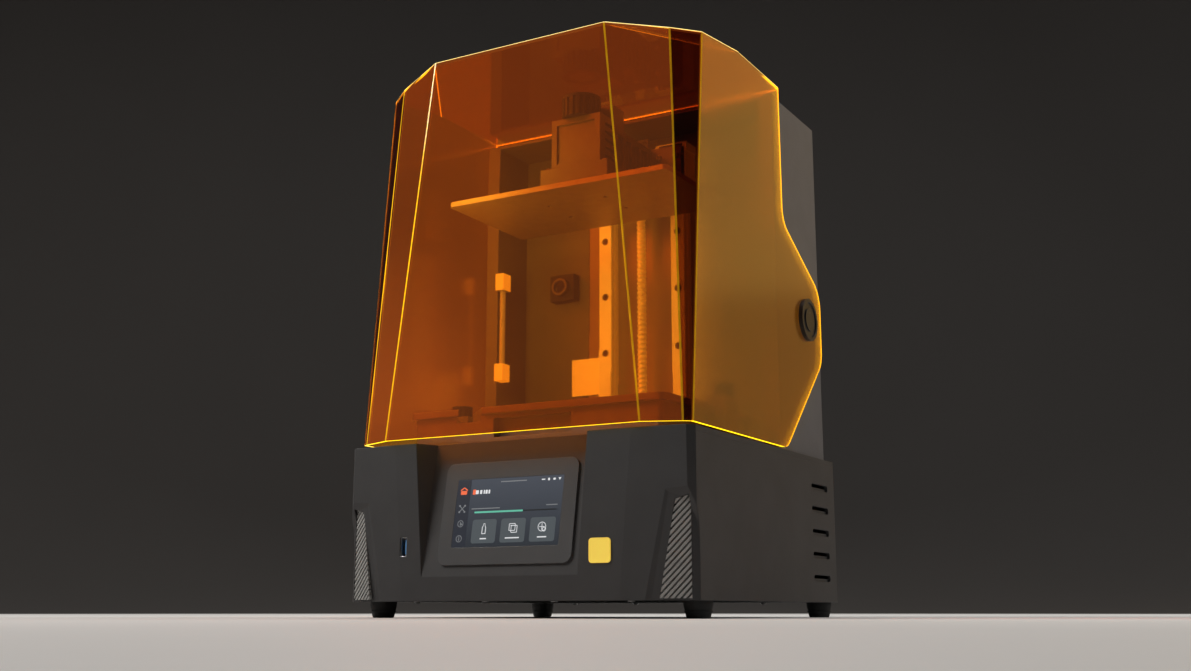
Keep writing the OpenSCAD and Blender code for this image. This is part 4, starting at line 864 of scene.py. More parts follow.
class Printer:
    """The dressed printer: gives nodes their finishes and adds pieces."""

    def __init__(self, frame: dict) -> None:
        """Keeps the loaded frame.
        """
        self.frame = frame

    def paint(self, finish: Finish, *nodes: str) -> None:
        """Gives nodes a finish without touching their meshes.

        Args:
            finish: The finish.
            nodes: Node names.
        """
        material = finish.build()
        for name in nodes:
            node = self.frame["nodes"][name]
            if not node.material_slots:
                node.data.materials.append(material)
            for place in node.material_slots:
                place.link = "OBJECT"
                place.material = material
            LOG.info("node %s: %s", name, finish.name)

    def add(self, name: str, shape: Shape | bpy.types.Mesh, finish: Finish | Sequence[Finish],
            body: Body, slot: Slot,
            replaces: Sequence[str] = (), smooth: bool = False) -> bpy.types.Object:
        """Adds a piece that moves with a body.

        Args:
            name: Name of the piece.
            shape: Its mesh.
            finish: Its finish, or one for each material index.
            body: Body that it rides on.
            slot: Material slot of the record; not used.
            replaces: Nodes that it stands for.
            smooth: Whether it is shaded smooth.

        Returns:
            The object.
        """
        mesh = shape.mesh(name, smooth) if isinstance(shape, Shape) else shape
        for each in ([finish] if isinstance(finish, Finish) else finish):
            mesh.materials.append(each.build())
        piece = bpy.data.objects.new(name, mesh)
        bpy.context.scene.collection.objects.link(piece)
        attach(piece, body.value)
        if replaces:
            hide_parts(*replaces)
        LOG.info("piece %s on %s: %d faces", name, body.value, len(mesh.polygons))
        return piece


# ---------------------------------------------------------------- base


@dataclass
class BaseShell:
    """Housing of the base: moulded front, covers, deck, rear panel and feet.

    Args:
        screw_radius: Radius of a rear screw's head.
        screw_h: Height of a rear screw's head.
        screw_sink: Depth at which a rear screw's head starts.
        screw_inset: Distance of the rear screws from the panel's edges.
        screw_places: Places of the rear screws, as shares of the panel's half width.
        foot_half: Radius of a foot.
        foot_ring: Profile of the ring round a foot.
        grille_turn: Turn of the right grille about Z, in degrees.
        shade_sheet_inset: Distance of the dark sheet from the grille's outline.
        shade_sheet_t: Depth at which the dark sheet starts behind the grille.
        shade_sheet_gap: Gap between dark sheet and grille.
    """

    screw_radius: float = 2.6
    screw_h: float = 0.28
    screw_sink: float = 0.3
    screw_inset: float = 7.0
    screw_places: tuple[float, ...] = (-0.94, -0.45, 0.12, 0.94)
    foot_half: float = 12.0
    foot_ring: tuple[Point2, ...] = ((10.4, 4.6), (11.35, 5.2), (11.5, 5.8), (10.9, 6.4))
    grille_turn: float = 18.8
    shade_sheet_inset: float = 0.8
    shade_sheet_t: float = 0.5
    shade_sheet_gap: float = 0.02

    def dress(self, printer: Printer) -> None:
        """Gives the housing its finishes and small parts.

        Args:
            printer: The printer.
        """
        printer.paint(Palette.MOULDING, "front_fascia")
        printer.paint(Palette.SHELL, "base_pan", "side_cover_left", "side_cover_right", "rear_panel",
                      "deck_plate")
        printer.paint(Palette.RUBBER, "feet")
        printer.paint(Palette.SCREW_STEEL, "pan_screws")
        printer.paint(Palette.GRILLE, "grille_left", "grille_right")
        self.shade_sheets(printer)
        self.rear_screws(printer)
        self.foot_rings(printer)

    def shade_sheets(self, printer: Printer) -> None:
        """Dark sheet behind each grille, painted shade for the gaps between the slats.

        Args:
            printer: The printer.
        """
        for side, sign in (("left", -1), ("right", 1)):
            turn = math.radians(self.grille_turn * sign)
            run = Vector((math.cos(turn), math.sin(turn), 0))
            out = run.cross(Vector((0, 0, 1)))
            points = [v.co / MM for v in printer.frame["nodes"][f"grille_{side}"].data.vertices]
            back = min(p.dot(out) for p in points)
            flat = [Vector((p.dot(run), p.z)) for p in points]
            hull = [flat[i] for i in convex_hull_2d(flat)]
            mid = sum(hull, Vector((0, 0))) / len(hull)
            outline = [tuple(p + (mid - p).normalized() * self.shade_sheet_inset) for p in hull]
            place = axes(out * (back - self.shade_sheet_t), run, (0, 0, 1))
            # painted shade: a near-black sheet fills the view through the slats' gaps
            printer.add(f"grille_shade_sheet_{side}",
                        Shape().prism(outline, 0, self.shade_sheet_t - self.shade_sheet_gap, place), Palette.DARK,
                        Body.BASE, Slot.GRILLE)

    def rear_screws(self, printer: Printer) -> None:
        """Screws along the upper and lower edge of the rear panel.

        Args:
            printer: The printer.
        """
        box = Extent.of("rear_panel")
        shape = Shape()
        for x in self.screw_places:
            for z in (box.low.z + self.screw_inset, box.high.z - self.screw_inset):
                shape.pan_head(axes((box.mid.x + x * box.size.x / 2, box.high.y - self.screw_sink, z),
                                    *FACE_BACK),
                               self.screw_radius, self.screw_h)
        printer.add("rear_panel_screws", shape, Palette.SCREW_STEEL, Body.BASE, Slot.SCREW_STEEL,
                    smooth=True)

    def foot_rings(self, printer: Printer) -> None:
        """A moulded ring round each foot.

        Args:
            printer: The printer.
        """
        box = Extent.of("feet")
        shape = Shape()
        half = self.foot_half
        for x in (box.low.x + half, box.high.x - half):
            for y in (box.low.y + half, box.high.y - half):
                shape.lathe(self.foot_ring, axes((x, y, 0), *FACE_UP))
        printer.add("foot_rings", shape, Palette.RUBBER, Body.BASE, Slot.RUBBER, smooth=True)


@dataclass
class TouchScreen:
    """Glass and lit area in the front pocket, with a generic menu of plain marks.

    Args:
        tilt: Backward lean of the glass, in degrees.
        width: Width of the lit area.
        height: Height of the lit area.
        thick: Height of a drawn mark over the lit area.
        start: Height at which a mark starts, just clear of the lit area.
        proud: Height of the lit area's face over its middle.
        pen: Width of the icons' lines.
    """

    tilt: float = 9.5
    width: float = 107.0
    height: float = 59.5
    thick: float = 0.10
    start: float = 0.02
    proud: float = 0.27
    pen: float = 0.55

    def __post_init__(self) -> None:
        """Finds the lit area's own frame."""
        box = Extent.of("screen_display")
        lean = math.radians(self.tilt)
        out = Vector((0, -math.cos(lean), math.sin(lean)))
        self.place = axes(box.mid + out * self.proud, (1, 0, 0), (0, math.sin(lean), math.cos(lean)))
        self.box = box

    def marks(self, printer: Printer, name: str, outlines: Iterable[Sequence[Point2]], finish: Finish,
              level: int = 1) -> None:
        """Adds flat lit marks.

        Args:
            printer: The printer.
            name: Name of the piece.
            outlines: Outlines in the lit area's frame.
            finish: Their finish.
            level: Layer above the glass, for marks that lie on others.
        """
        shape = Shape()
        for outline in outlines:
            shape.prism(list(outline), self.start, self.thick * level, self.place)
        printer.add(name, shape, finish, Body.BASE, Slot.DISPLAY)

    def dress(self, printer: Printer) -> None:
        """Draws the menu.

        Args:
            printer: The printer.
        """
        printer.paint(Palette.GLASS, "screen_glass")
        backdrop = LitPanel("display_backdrop", (0.02, 0.022, 0.026), 0.2, mottle=0.05, mottle_mm=30,
                            grain=0.0,
                            edge_mm=0.0, coat=0.3, glow=1.0, foot=(0.020, 0.024, 0.030),
                            top=(0.055, 0.064, 0.082),
                            low_z=self.box.low.z, high_z=self.box.high.z)
        printer.paint(backdrop, "screen_display")
        w, h = self.width / 2, self.height / 2
        side = lit_mark("menu_sidebar", (0.016, 0.019, 0.028))
        card = lit_mark("menu_card", (0.060, 0.072, 0.080))
        white = lit_mark("menu_white", (0.62, 0.64, 0.66))
        faint = lit_mark("menu_faint", (0.16, 0.17, 0.18))
        teal = lit_mark("menu_teal", (0.10, 0.42, 0.30))
        dark = lit_mark("menu_dark", (0.008, 0.010, 0.012))
        orange = lit_mark("menu_orange", (0.75, 0.13, 0.05))
        column = -w + 7.2
        self.marks(printer, "menu_sidebar", [rounded_box(13.6, 2 * h - 1.2, 0.6, at=(column, 0))], side)
        self.marks(printer, "menu_cards",
                   [rounded_box(24.5, 20.5, 2.2, at=(x, -h + 13.6)) for x in (-21.4, 7.8, 37.0)], card)
        self.marks(printer, "menu_home", [rounded_box(6.4, 3.4, 0.8, at=(column, h - 11.6)),
                                          bar((column - 3.6, h - 9.6), (column, h - 7.2), 1.0),
                                          bar((column + 3.6, h - 9.6), (column, h - 7.2), 1.0)], orange,
                   2)
        self.marks(printer, "menu_tools", [
            bar((column - 2.6, 1.4), (column + 2.6, 6.6), 0.7),
            bar((column + 2.6, 1.4), (column - 2.6, 6.6), 0.7),
            *[disc(0.9, (column + dx, 4 + dy), 12) for dx in (-2.7, 2.7) for dy in (-2.7, 2.7)]], faint,
                   2)
        self.rings(printer, "menu_rings", [(column, -9.0), (column, -22.0)], 3.0, faint)
        self.marks(printer, "menu_ring_marks", [bar((column, -10.6), (column, -7.6), 0.8),
                                                bar((column, -23.6), (column, -21.6), 0.8),
                                                disc(0.5, (column, -20.6), 10),
                                                disc(0.7, (column + 1.2, -9.4), 10)],
                   faint, 2)
        title = [(-w + 19.4, 3.0), (-w + 23.4, 2.2), (-w + 26.6, 1.2), (-w + 29.0, 2.2),
                 (-w + 31.8, 1.6)]
        self.marks(printer, "menu_title_first", [rounded_box(3.0, 4.4, 0.5, at=(-w + 18.0, h - 11.4))],
                   orange)
        self.marks(printer, "menu_title",
                   [rounded_box(width, 3.4, 0.4, at=(x + 1.6, h - 11.6)) for x, width in title],
                   white)
        self.marks(printer, "menu_status", [
            rounded_box(3.4, 1.0, 0.3, at=(w - 20, h - 3.4)),
            rounded_box(1.8, 2.2, 0.5, at=(w - 14.6, h - 3.4)),
            rounded_box(2.6, 1.8, 0.9, at=(w - 9.2, h - 3.4)),
            [(w - 5.4, h - 2.4), (w - 4.0, h - 4.6), (w - 2.6, h - 2.4)][::-1]], white)
        self.marks(printer, "menu_faint_lines", [
            rounded_box(26, 0.9, 0.3, at=(4, h - 3.4)), rounded_box(29, 0.8, 0.3, at=(-22, 3.6)),
            rounded_box(11, 0.8, 0.3, at=(w - 9.5, 4.4))], faint)
        self.marks(printer, "menu_track", [rounded_box(82, 1.1, 0.4, at=(8.0, 0.4))], dark)
        self.marks(printer, "menu_progress", [rounded_box(49, 1.5, 0.5, at=(-8.5, 0.4))], teal, 2)
        self.icons(printer, white, -h + 15.4)

    def rings(self, printer: Printer, name: str, centres: Sequence[Point2], radius: float,
              finish: Finish) -> None:
        """Adds thin rings.

        Args:
            printer: The printer.
            name: Name of the piece.
            centres: Centres in the lit area's frame.
            radius: Outer radius.
            finish: Their finish.
        """
        shape = Shape()
        for at in centres:
            shape.frame(disc(radius, at), disc(radius - self.pen, at), self.start, 2 * self.thick,
                        self.place)
        printer.add(name, shape, finish, Body.BASE, Slot.DISPLAY)

    def icons(self, printer: Printer, finish: Finish, level: float) -> None:
        """Adds the outline icons and the caption bars of the three cards.

        Args:
            printer: The printer.
            finish: Their finish.
            level: Height of the icons' middle in the lit area's frame.
        """
        shape = Shape()
        pen, foot = self.pen, self.start
        top = 2 * self.thick
        tube = [(-2.0, -4.2), (2.0, -4.2), (2.0, 1.6), (0.9, 3.4), (0.9, 4.8), (-0.9, 4.8), (-0.9, 3.4),
                (-2.0, 1.6)]
        inner = [(x * 0.68, -3.6 if y < -4 else y * 0.92 - 0.1) for x, y in tube]
        moved = [(x - 21.4, y + level) for x, y in tube]
        shape.frame(moved, [(x - 21.4, y + level) for x, y in inner], foot, top, self.place)
        for dx, dy in ((0.0, 0.0), (2.0, -1.6)):
            at = (7.0 + dx, level + 0.9 + dy)
            shape.frame(rounded_box(6.4, 6.4, 0.8, at=at),
                        rounded_box(6.4 - 2 * pen, 6.4 - 2 * pen, 0.4, at=at), foot,
                        top, self.place)
        shape.prism(rounded_box(3.4, 0.6, 0.2, at=(7.0, level + 2.2)), foot, top, self.place)
        shape.frame(disc(4.0, (36.4, level + 0.4)), disc(3.45, (36.4, level + 0.4)), foot, top,
                    self.place)
        shape.frame(disc(1.9, (38.6, level - 1.8)), disc(1.35, (38.6, level - 1.8)), foot, top,
                    self.place)
        shape.prism(bar((33.8, level + 0.4), (39.0, level + 0.4), 0.5), foot, top, self.place)
        shape.prism(bar((36.4, level - 2.4), (36.4, level + 3.4), 0.5), foot, top, self.place)
        for x, width in ((-21.4, 6.5), (7.8, 14.0), (37.0, 9.0)):
            shape.prism(rounded_box(width, 1.0, 0.3, at=(x, level - 8.2)), foot, top, self.place)
        printer.add("menu_icons", shape, finish, Body.BASE, Slot.DISPLAY)


@dataclass
class FrontDetails:
    """Data socket and badge of the front.

    Args:
        contact_w: Width of a contact.
        contact_l: Length of a contact.
        contact_t: Thickness of a contact.
        rim_t: Height of the badge's rim.
    """

    contact_w: float = 1.1
    contact_l: float = 6.0
    contact_t: float = 0.12
    rim_t: float = 0.18

    def dress(self, printer: Printer) -> None:
        """Finishes socket and badge.

        Args:
            printer: The printer.
        """
        printer.paint(Palette.STEEL, "usb_shell")
        printer.paint(Palette.BLUE, "usb_tongue")
        printer.paint(Palette.BADGE, "badge_plate")
        self.contacts(printer)
        self.badge_rim(printer)

    def contacts(self, printer: Printer) -> None:
        """Spring contacts along the socket's tongue.

        Args:
            printer: The printer.
        """
        box = Extent.of("usb_tongue")
        shape = Shape()
        for i in range(4):
            z = box.low.z + box.size.z * (0.14 + 0.24 * i)
            place = axes((box.high.x, box.low.y + 4.2, z), *FACE_RIGHT)
            shape.prism(rounded_box(self.contact_l, self.contact_w, 0.3), 0, self.contact_t, place)
        printer.add("socket_contacts", shape, Palette.BRASS, Body.BASE, Slot.PORT_BLUE)

    def badge_rim(self, printer: Printer) -> None:
        """Fine raised rim round the bare badge.

        Args:
            printer: The printer.
        """
        box = Extent.of("badge_plate")
        place = axes((box.mid.x, box.low.y, box.mid.z), *FACE_FRONT)
        width = box.size.x
        shape = Shape().frame(rounded_box(width - 0.6, width - 0.6, 2.8),
                              rounded_box(width - 1.8, width - 1.8, 2.2),
                              0, self.rim_t, place)
        printer.add("badge_rim", shape, Palette.BADGE, Body.BASE, Slot.BADGE)


@dataclass
class BaseInside:
    """Parts inside the base that show through vents and sockets.

    Args:
        pin_w: Width of an inlet pin.
        pin_l: Length of a pin's sleeve.
        pin_places: Places of the pins from the inlet's middle, as (x, z).
        rocker_lean: Lean of the rocker's face at rest, in degrees.
        mark_lift: Distance of the rocker's marks from its middle.
        mark_sink: Depth at which the rocker's marks start.
    """

    pin_w: float = 2.0
    pin_l: float = 11.0
    pin_places: tuple[Point2, ...] = ((-7, -1), (0, 3), (7, -1))
    rocker_lean: float = 8.0
    mark_lift: float = 2.7
    mark_sink: float = 0.6

    def dress(self, printer: Printer) -> None:
        """Finishes the inner parts.

        Args:
            printer: The printer.
        """
        printer.paint(Palette.LCD, "exposure_screen")
        printer.paint(Palette.ENGINE, "light_engine", "power_supply")
        printer.paint(Palette.BOARD, "mainboard")
        printer.paint(Palette.PLASTIC, "fan_frame", "fan_rotor", "power_inlet", "switch_frame",
                      "lift_motor")
        printer.paint(Palette.ROCKER, "power_switch")
        self.rocker_marks(printer)
        self.pins(printer)
        self.screen_border(printer)

    def rocker_marks(self, printer: Printer) -> None:
        """Line and ring on the rocker, for on and off.

        Args:
            printer: The printer.
        """
        box = Extent.of("power_switch")
        tilt = math.radians(self.rocker_lean)
        normal = Vector((0, math.cos(tilt), -math.sin(tilt)))
        up = Vector((0, math.sin(tilt), math.cos(tilt)))
        shape = Shape()
        face = box.mid + normal * 2.2 + Vector((0, 0.3, 0))
        for lift, ring in ((self.mark_lift, False), (-self.mark_lift, True)):
            place = axes(face + up * lift + normal * self.mark_sink, (-1, 0, 0), up)
            if ring:
                shape.frame(disc(1.3, sides=20), disc(0.9, sides=20), -self.mark_sink, 0.06, place)
            else:
                shape.prism(rounded_box(0.5, 2.6, 0.2), -self.mark_sink, 0.06, place)
        printer.add("rocker_marks", shape, Palette.WHITE, Body.ROCKER, Slot.ROCKER)

    def pins(self, printer: Printer) -> None:
        """Brass sleeves on the inlet's three pins.

        Args:
            printer: The printer.
        """
        box = Extent.of("power_inlet")
        shape = Shape()
        for dx, dz in self.pin_places:
            place = axes((box.mid.x + dx, box.high.y - 3.6, box.mid.z + dz), *FACE_BACK)
            shape.prism(rounded_box(self.pin_w + 0.3, 4.3, 0.3), -self.pin_l, 0, place, 0.3)
        printer.add("inlet_pins", shape, Palette.BRASS, Body.BASE, Slot.PLASTIC)

    def screen_border(self, printer: Printer) -> None:
        """Dark printed border of the exposure screen.

        Args:
            printer: The printer.
        """
        box = Extent.of("exposure_screen")
        place = axes((box.mid.x, box.mid.y, box.high.z), *FACE_UP)
        w, d = box.size.x, box.size.y
        shape = Shape().frame(rounded_box(w - 0.4, d - 0.4, 0.6), rounded_box(w - 14, d - 14, 1.5),
                              -0.02, 0.03, place)
        printer.add("exposure_border", shape, Palette.DARK, Body.BASE, Slot.LCD)


# ---------------------------------------------------------------- tower and lift


@dataclass
class Tower:
    """Tower, its lining, rails, lamp, camera and rear cover.

    Args:
        cover_columns: Columns of the rear cover's screws, as shares of its half width.
        cover_rows: Rows of the same screws, as shares of its height.
        side_rows: Rows that have no screw in the middle column.
        bearing_x: Distance of the bearing's screws from the middle.
    """

    cover_columns: tuple[float, ...] = (-0.95, 0.0, 0.95)
    cover_rows: tuple[float, ...] = (0.025, 0.35, 0.66, 0.975)
    side_rows: tuple[float, ...] = (0.35, 0.66)
    bearing_x: float = 10.0

    def dress(self, printer: Printer) -> None:
        """Finishes the tower.

        Args:
            printer: The printer.
        """
        printer.paint(Palette.TOWER, "tower_shell", "tower_back")
        printer.paint(Palette.SPINE, "rail_plate", "top_bearing")
        printer.paint(Palette.RAIL, "rail_left", "rail_right")
        printer.paint(Palette.SCREW_STEEL, "rail_screws", "hinge_pins")
        printer.paint(Palette.LAMP, "lamp_bar")
        printer.paint(Palette.PLASTIC, "camera_module")
        printer.paint(Palette.LABEL, "label_plate")
        self.back_screws(printer)
        self.camera_lens(printer)
        self.bearing_screws(printer)
        self.rail_ends(printer)

    def back_screws(self, printer: Printer) -> None:
        """Screws of the tower's rear cover.

        Args:
            printer: The printer.
        """
        box = Extent.of("tower_back")
        shape = Shape()
        for x in self.cover_columns:
            for z in self.cover_rows:
                if x == 0.0 and z in self.side_rows:
                    continue
                shape.pan_head(axes((x * box.size.x / 2, box.high.y, box.low.z + z * box.size.z),
                                    *FACE_BACK), 3.0, 0.4)
        printer.add("tower_back_screws", shape, Palette.SCREW_STEEL, Body.BASE, Slot.SCREW_STEEL,
                    smooth=True)

    def camera_lens(self, printer: Printer) -> None:
        """Lens and its ring in the camera's barrel.

        Args:
            printer: The printer.
        """
        box = Extent.of("camera_module")
        place = axes((box.mid.x, box.low.y + 1.0, box.mid.z), *FACE_FRONT)
        printer.add("camera_glass",
                    Shape().lathe([(5.9, -0.9), (5.6, -0.2), (3.5, 0.4), (0, 0.7)], place),
                    Palette.LENS, Body.BASE, Slot.PLASTIC, smooth=True)
        ring = Shape().lathe([(9.05, 0.2), (9.05, 1.0), (8.2, 1.25), (6.2, 0.9), (6.2, -0.6)], place)
        printer.add("camera_ring", ring, Palette.ARM, Body.BASE, Slot.PLASTIC, smooth=True)

    def bearing_screws(self, printer: Printer) -> None:
        """Two socket screws in the upper bearing block.

        Args:
            printer: The printer.
        """
        box = Extent.of("top_bearing")
        shape = Shape()
        for x in (-self.bearing_x, self.bearing_x):
            shape.pan_head(axes((x, box.low.y, box.mid.z), *FACE_FRONT), 2.8, 2.0)
        printer.add("bearing_screws", shape, Palette.SCREW_STEEL, Body.BASE, Slot.SCREW_STEEL,
                    smooth=True)

    def rail_ends(self, printer: Printer) -> None:
        """Black end caps on the rails.

        Args:
            printer: The printer.
        """
        shape = Shape()
        for side in ("rail_left", "rail_right"):
            box = Extent.of(side)
            for z, up in ((box.low.z - 1.4, 0), (box.high.z + 0.05, 1)):
                place = axes((box.mid.x, box.mid.y, z), *FACE_UP)
                shape.prism(rounded_box(box.size.x + 0.6, box.size.y + 0.2, 1.2), 0, 1.3, place,
                            0.3 * up)
        printer.add("rail_end_caps", shape, Palette.PLASTIC, Body.BASE, Slot.PLASTIC)


@dataclass
class Lift:
    """Carriages, screw, arm, block, platform and knob.

    Args:
        lead: Lead of the ball screw.
        root: Radius at the bottom of its groove.
        journal: Length of the screw's plain upper end.
        runner_w: Width of a runner block.
        grip_count: Number of ribs on the knob.
        grip_radius: Distance of the ribs from the knob's axis.
    """

    lead: float = 5.0
    root: float = 4.15
    journal: float = 10.4
    runner_w: float = 34.0
    grip_count: int = 18
    grip_radius: float = 18.2

    def dress(self, printer: Printer) -> None:
        """Finishes the lift.

        Args:
            printer: The printer.
        """
        printer.paint(Palette.RAIL, "carriages", "ball_nut")
        printer.paint(Palette.SCREW_STEEL, "motor_coupling")
        printer.paint(Palette.ARM, "lift_arm", "platform_block")
        printer.paint(Palette.PLATFORM, "platform_plate")
        printer.paint(Palette.PLASTIC, "platform_knob")
        self.thread(printer)
        self.carriage_caps(printer)
        self.arm_screws(printer)
        self.knob_cap(printer)
        self.block_screws(printer)

    def thread(self, printer: Printer) -> None:
        """Ball screw with its rolled thread, in place of the plain rod.

        Args:
            printer: The printer.
        """
        box = Extent.of("ball_screw")
        place = axes((box.mid.x, box.mid.y, 0), *FACE_UP)
        radius = box.size.x / 2
        top = box.high.z - self.journal + 1
        shape = Shape().screw_thread(radius, self.root, self.lead, box.low.z, top, place)
        shape.lathe([(0, top - 0.5), (radius - 1, top - 0.5), (radius - 1, box.high.z - 0.5),
                     (radius - 1.5, box.high.z), (0, box.high.z)], place, 24)
        printer.add("ball_screw_thread", shape, Palette.RAIL, Body.SCREW, Slot.RAIL,
                    replaces=["ball_screw"],
                    smooth=True)

    def carriage_caps(self, printer: Printer) -> None:
        """End seals and screws of the runner blocks.

        Args:
            printer: The printer.
        """
        box = Extent.of("carriages")
        caps, screws = Shape(), Shape()
        width = self.runner_w
        for x in (box.low.x + width / 2, box.high.x - width / 2):
            for z in (box.low.z + 4.5, box.high.z - 4.5):
                place = axes((x, box.low.y, z), *FACE_FRONT)
                caps.prism(rounded_box(width - 8, 6.5, 1.0), -0.2, 0.12, place)
                for dx in (-9.5, 9.5):
                    screws.pan_head(axes((x + dx, box.low.y - 0.1, z), *FACE_FRONT), 1.5, 0.15, 12)
        printer.add("carriage_end_caps", caps, Palette.PLASTIC, Body.LIFT, Slot.PLASTIC)
        printer.add("carriage_screws", screws, Palette.SCREW_STEEL, Body.LIFT, Slot.SCREW_STEEL,
                    smooth=True)

    def arm_screws(self, printer: Printer) -> None:
        """Screws that hold the arm's plate to the carriages.

        Args:
            printer: The printer.
        """
        arm, runner = Extent.of("lift_arm"), Extent.of("carriages")
        shape = Shape()
        front = runner.low.y - 8
        for x in (-52, -33, 33, 52):
            for z in (runner.mid.z - 14, runner.mid.z + 14):
                shape.pan_head(axes((x, front, z), *FACE_FRONT), 3.0, 2.2)
        for y in (0.24, 0.42, 0.60):
            for x in (-15, 15):
                at = (x, arm.low.y + y * arm.size.y + 34, arm.high.z - 21.8)
                shape.pan_head(axes(at, *FACE_UP), 2.6, 1.6)
        printer.add("arm_screws", shape, Palette.SCREW_STEEL, Body.LIFT, Slot.SCREW_STEEL, smooth=True)

    def knob_cap(self, printer: Printer) -> None:
        """Inlaid cap on top of the knob and the ribs round it.

        Args:
            printer: The printer.
        """
        box = Extent.of("platform_knob")
        place = axes((box.mid.x, box.mid.y, box.high.z - 2.0), *FACE_UP)
        shape = Shape().lathe([(12.8, -0.1), (12.8, 0.7), (12.0, 1.1), (4.6, 1.2), (4.0, 0.6), (0, 0.6)],
                              place)
        printer.add("knob_cap", shape, Palette.ARM, Body.CLAMP, Slot.PLASTIC, smooth=True)
        grip = Shape()
        for i in range(self.grip_count):
            turn = math.radians(20 * i + 10)
            at = (box.mid.x + self.grip_radius * math.cos(turn),
                  box.mid.y + self.grip_radius * math.sin(turn),
                  box.high.z - 3)
            grip.lathe([(0, 1.4), (0.55, 1.1), (0.75, 0.3), (0.75, -14.5), (0, -15.2)],
                       axes(at, *FACE_UP), 8)
        printer.add("knob_grip", grip, Palette.PLASTIC, Body.CLAMP, Slot.PLASTIC, smooth=True)

    def block_screws(self, printer: Printer) -> None:
        """Levelling screws in the platform's block.

        Args:
            printer: The printer.
        """
        box, plate = Extent.of("platform_block"), Extent.of("platform_plate")
        shape = Shape()
        for x in (-31, 31):
            for y in (box.low.y + 6, box.high.y - 6):
                shape.pan_head(axes((x, y, plate.high.z + 30), *FACE_UP), 3.2, 2.4)
        printer.add("levelling_screws", shape, Palette.SCREW_STEEL, Body.LIFT, Slot.SCREW_STEEL,
                    smooth=True)


@dataclass
class Vat:
    """Vat, film and the clamps beside it.

    Args:
        rim_x: Half width over which the rim's screws are spread.
        rim_columns: Columns of the rim's screws, as shares of that half width.
        line_x: Place of the fill lines.
        line_widths: Widths of the fill lines, from the lowest.
    """

    rim_x: float = 118.0
    rim_columns: tuple[float, ...] = (-0.98, -0.49, 0.0, 0.49, 0.98)
    line_x: float = 96.0
    line_widths: tuple[float, ...] = (26, 14, 26)

    def dress(self, printer: Printer) -> None:
        """Finishes the vat.

        Args:
            printer: The printer.
        """
        printer.paint(Palette.VAT, "vat_body")
        printer.paint(Palette.FILM, "release_film")
        printer.paint(Palette.ARM, "vat_clamps")
        printer.paint(Palette.PLASTIC, "vat_screw_left", "vat_screw_right")
        self.rim_screws(printer)
        self.fill_marks(printer)

    def rim_screws(self, printer: Printer) -> None:
        """Screws round the vat's rim.

        Args:
            printer: The printer.
        """
        box = Extent.of("vat_body")
        shape = Shape()
        for x in self.rim_columns:
            for y in (box.low.y + 16, box.high.y - 10):
                if abs(x) == max(self.rim_columns) and y < 0:
                    continue
                shape.pan_head(axes((x * self.rim_x, y, box.high.z), *FACE_UP), 2.2, 1.1)
        printer.add("vat_screws", shape, Palette.SCREW_STEEL, Body.BASE, Slot.SCREW_STEEL, smooth=True)

    def fill_marks(self, printer: Printer) -> None:
        """Engraved fill lines on the bath's rear wall.

        Args:
            printer: The printer.
        """
        box = Extent.of("vat_body")
        wall = box.high.y - 22
        shape = Shape()
        for i, width in enumerate(self.line_widths):
            place = axes((self.line_x, wall, box.low.z + 10 + 6 * i), *FACE_FRONT)
            shape.prism(rounded_box(width, 0.7, 0.3), -0.1, 0.12, place)
        printer.add("vat_fill_marks", shape, Palette.DARK, Body.BASE, Slot.VAT)


# ---------------------------------------------------------------- hood


class HoodFace(IntEnum):
    """Kinds of faces of the hood, by material index."""

    PANE = 0
    # cut edges, which glow as a painted highlight
    CUT = 1
    # seams between panes, with a painted glow
    SEAM = 2
    # side panes, with a painted golden sheen
    SIDE = 3
    # narrow facets, with painted shade
    NARROW = 4
    # top seams, with a painted highlight
    CREST = 5


@dataclass(frozen=True)
class Pane:
    """Plane of a hood pane.

    Args:
        point: A point on its outer face.
        tilt: Turn about X that carries +Y onto the inward normal.
        turn: Turn about Z that follows.
    """

    point: Point3
    tilt: float
    turn: float

    @property
    def inward(self) -> Vector:
        """Inward normal."""
        tilt, turn = math.radians(self.tilt), math.radians(self.turn)
        return Matrix.Rotation(turn, 3, "Z") @ Matrix.Rotation(tilt, 3, "X") @ Vector((0, 1, 0))

    def mirrored(self) -> tuple[Vector, Vector]:
        """Point and inward normal of the pane on the other side."""
        point, normal = Vector(self.point), self.inward
        return Vector((-point.x, point.y, point.z)), Vector((-normal.x, normal.y, normal.z))


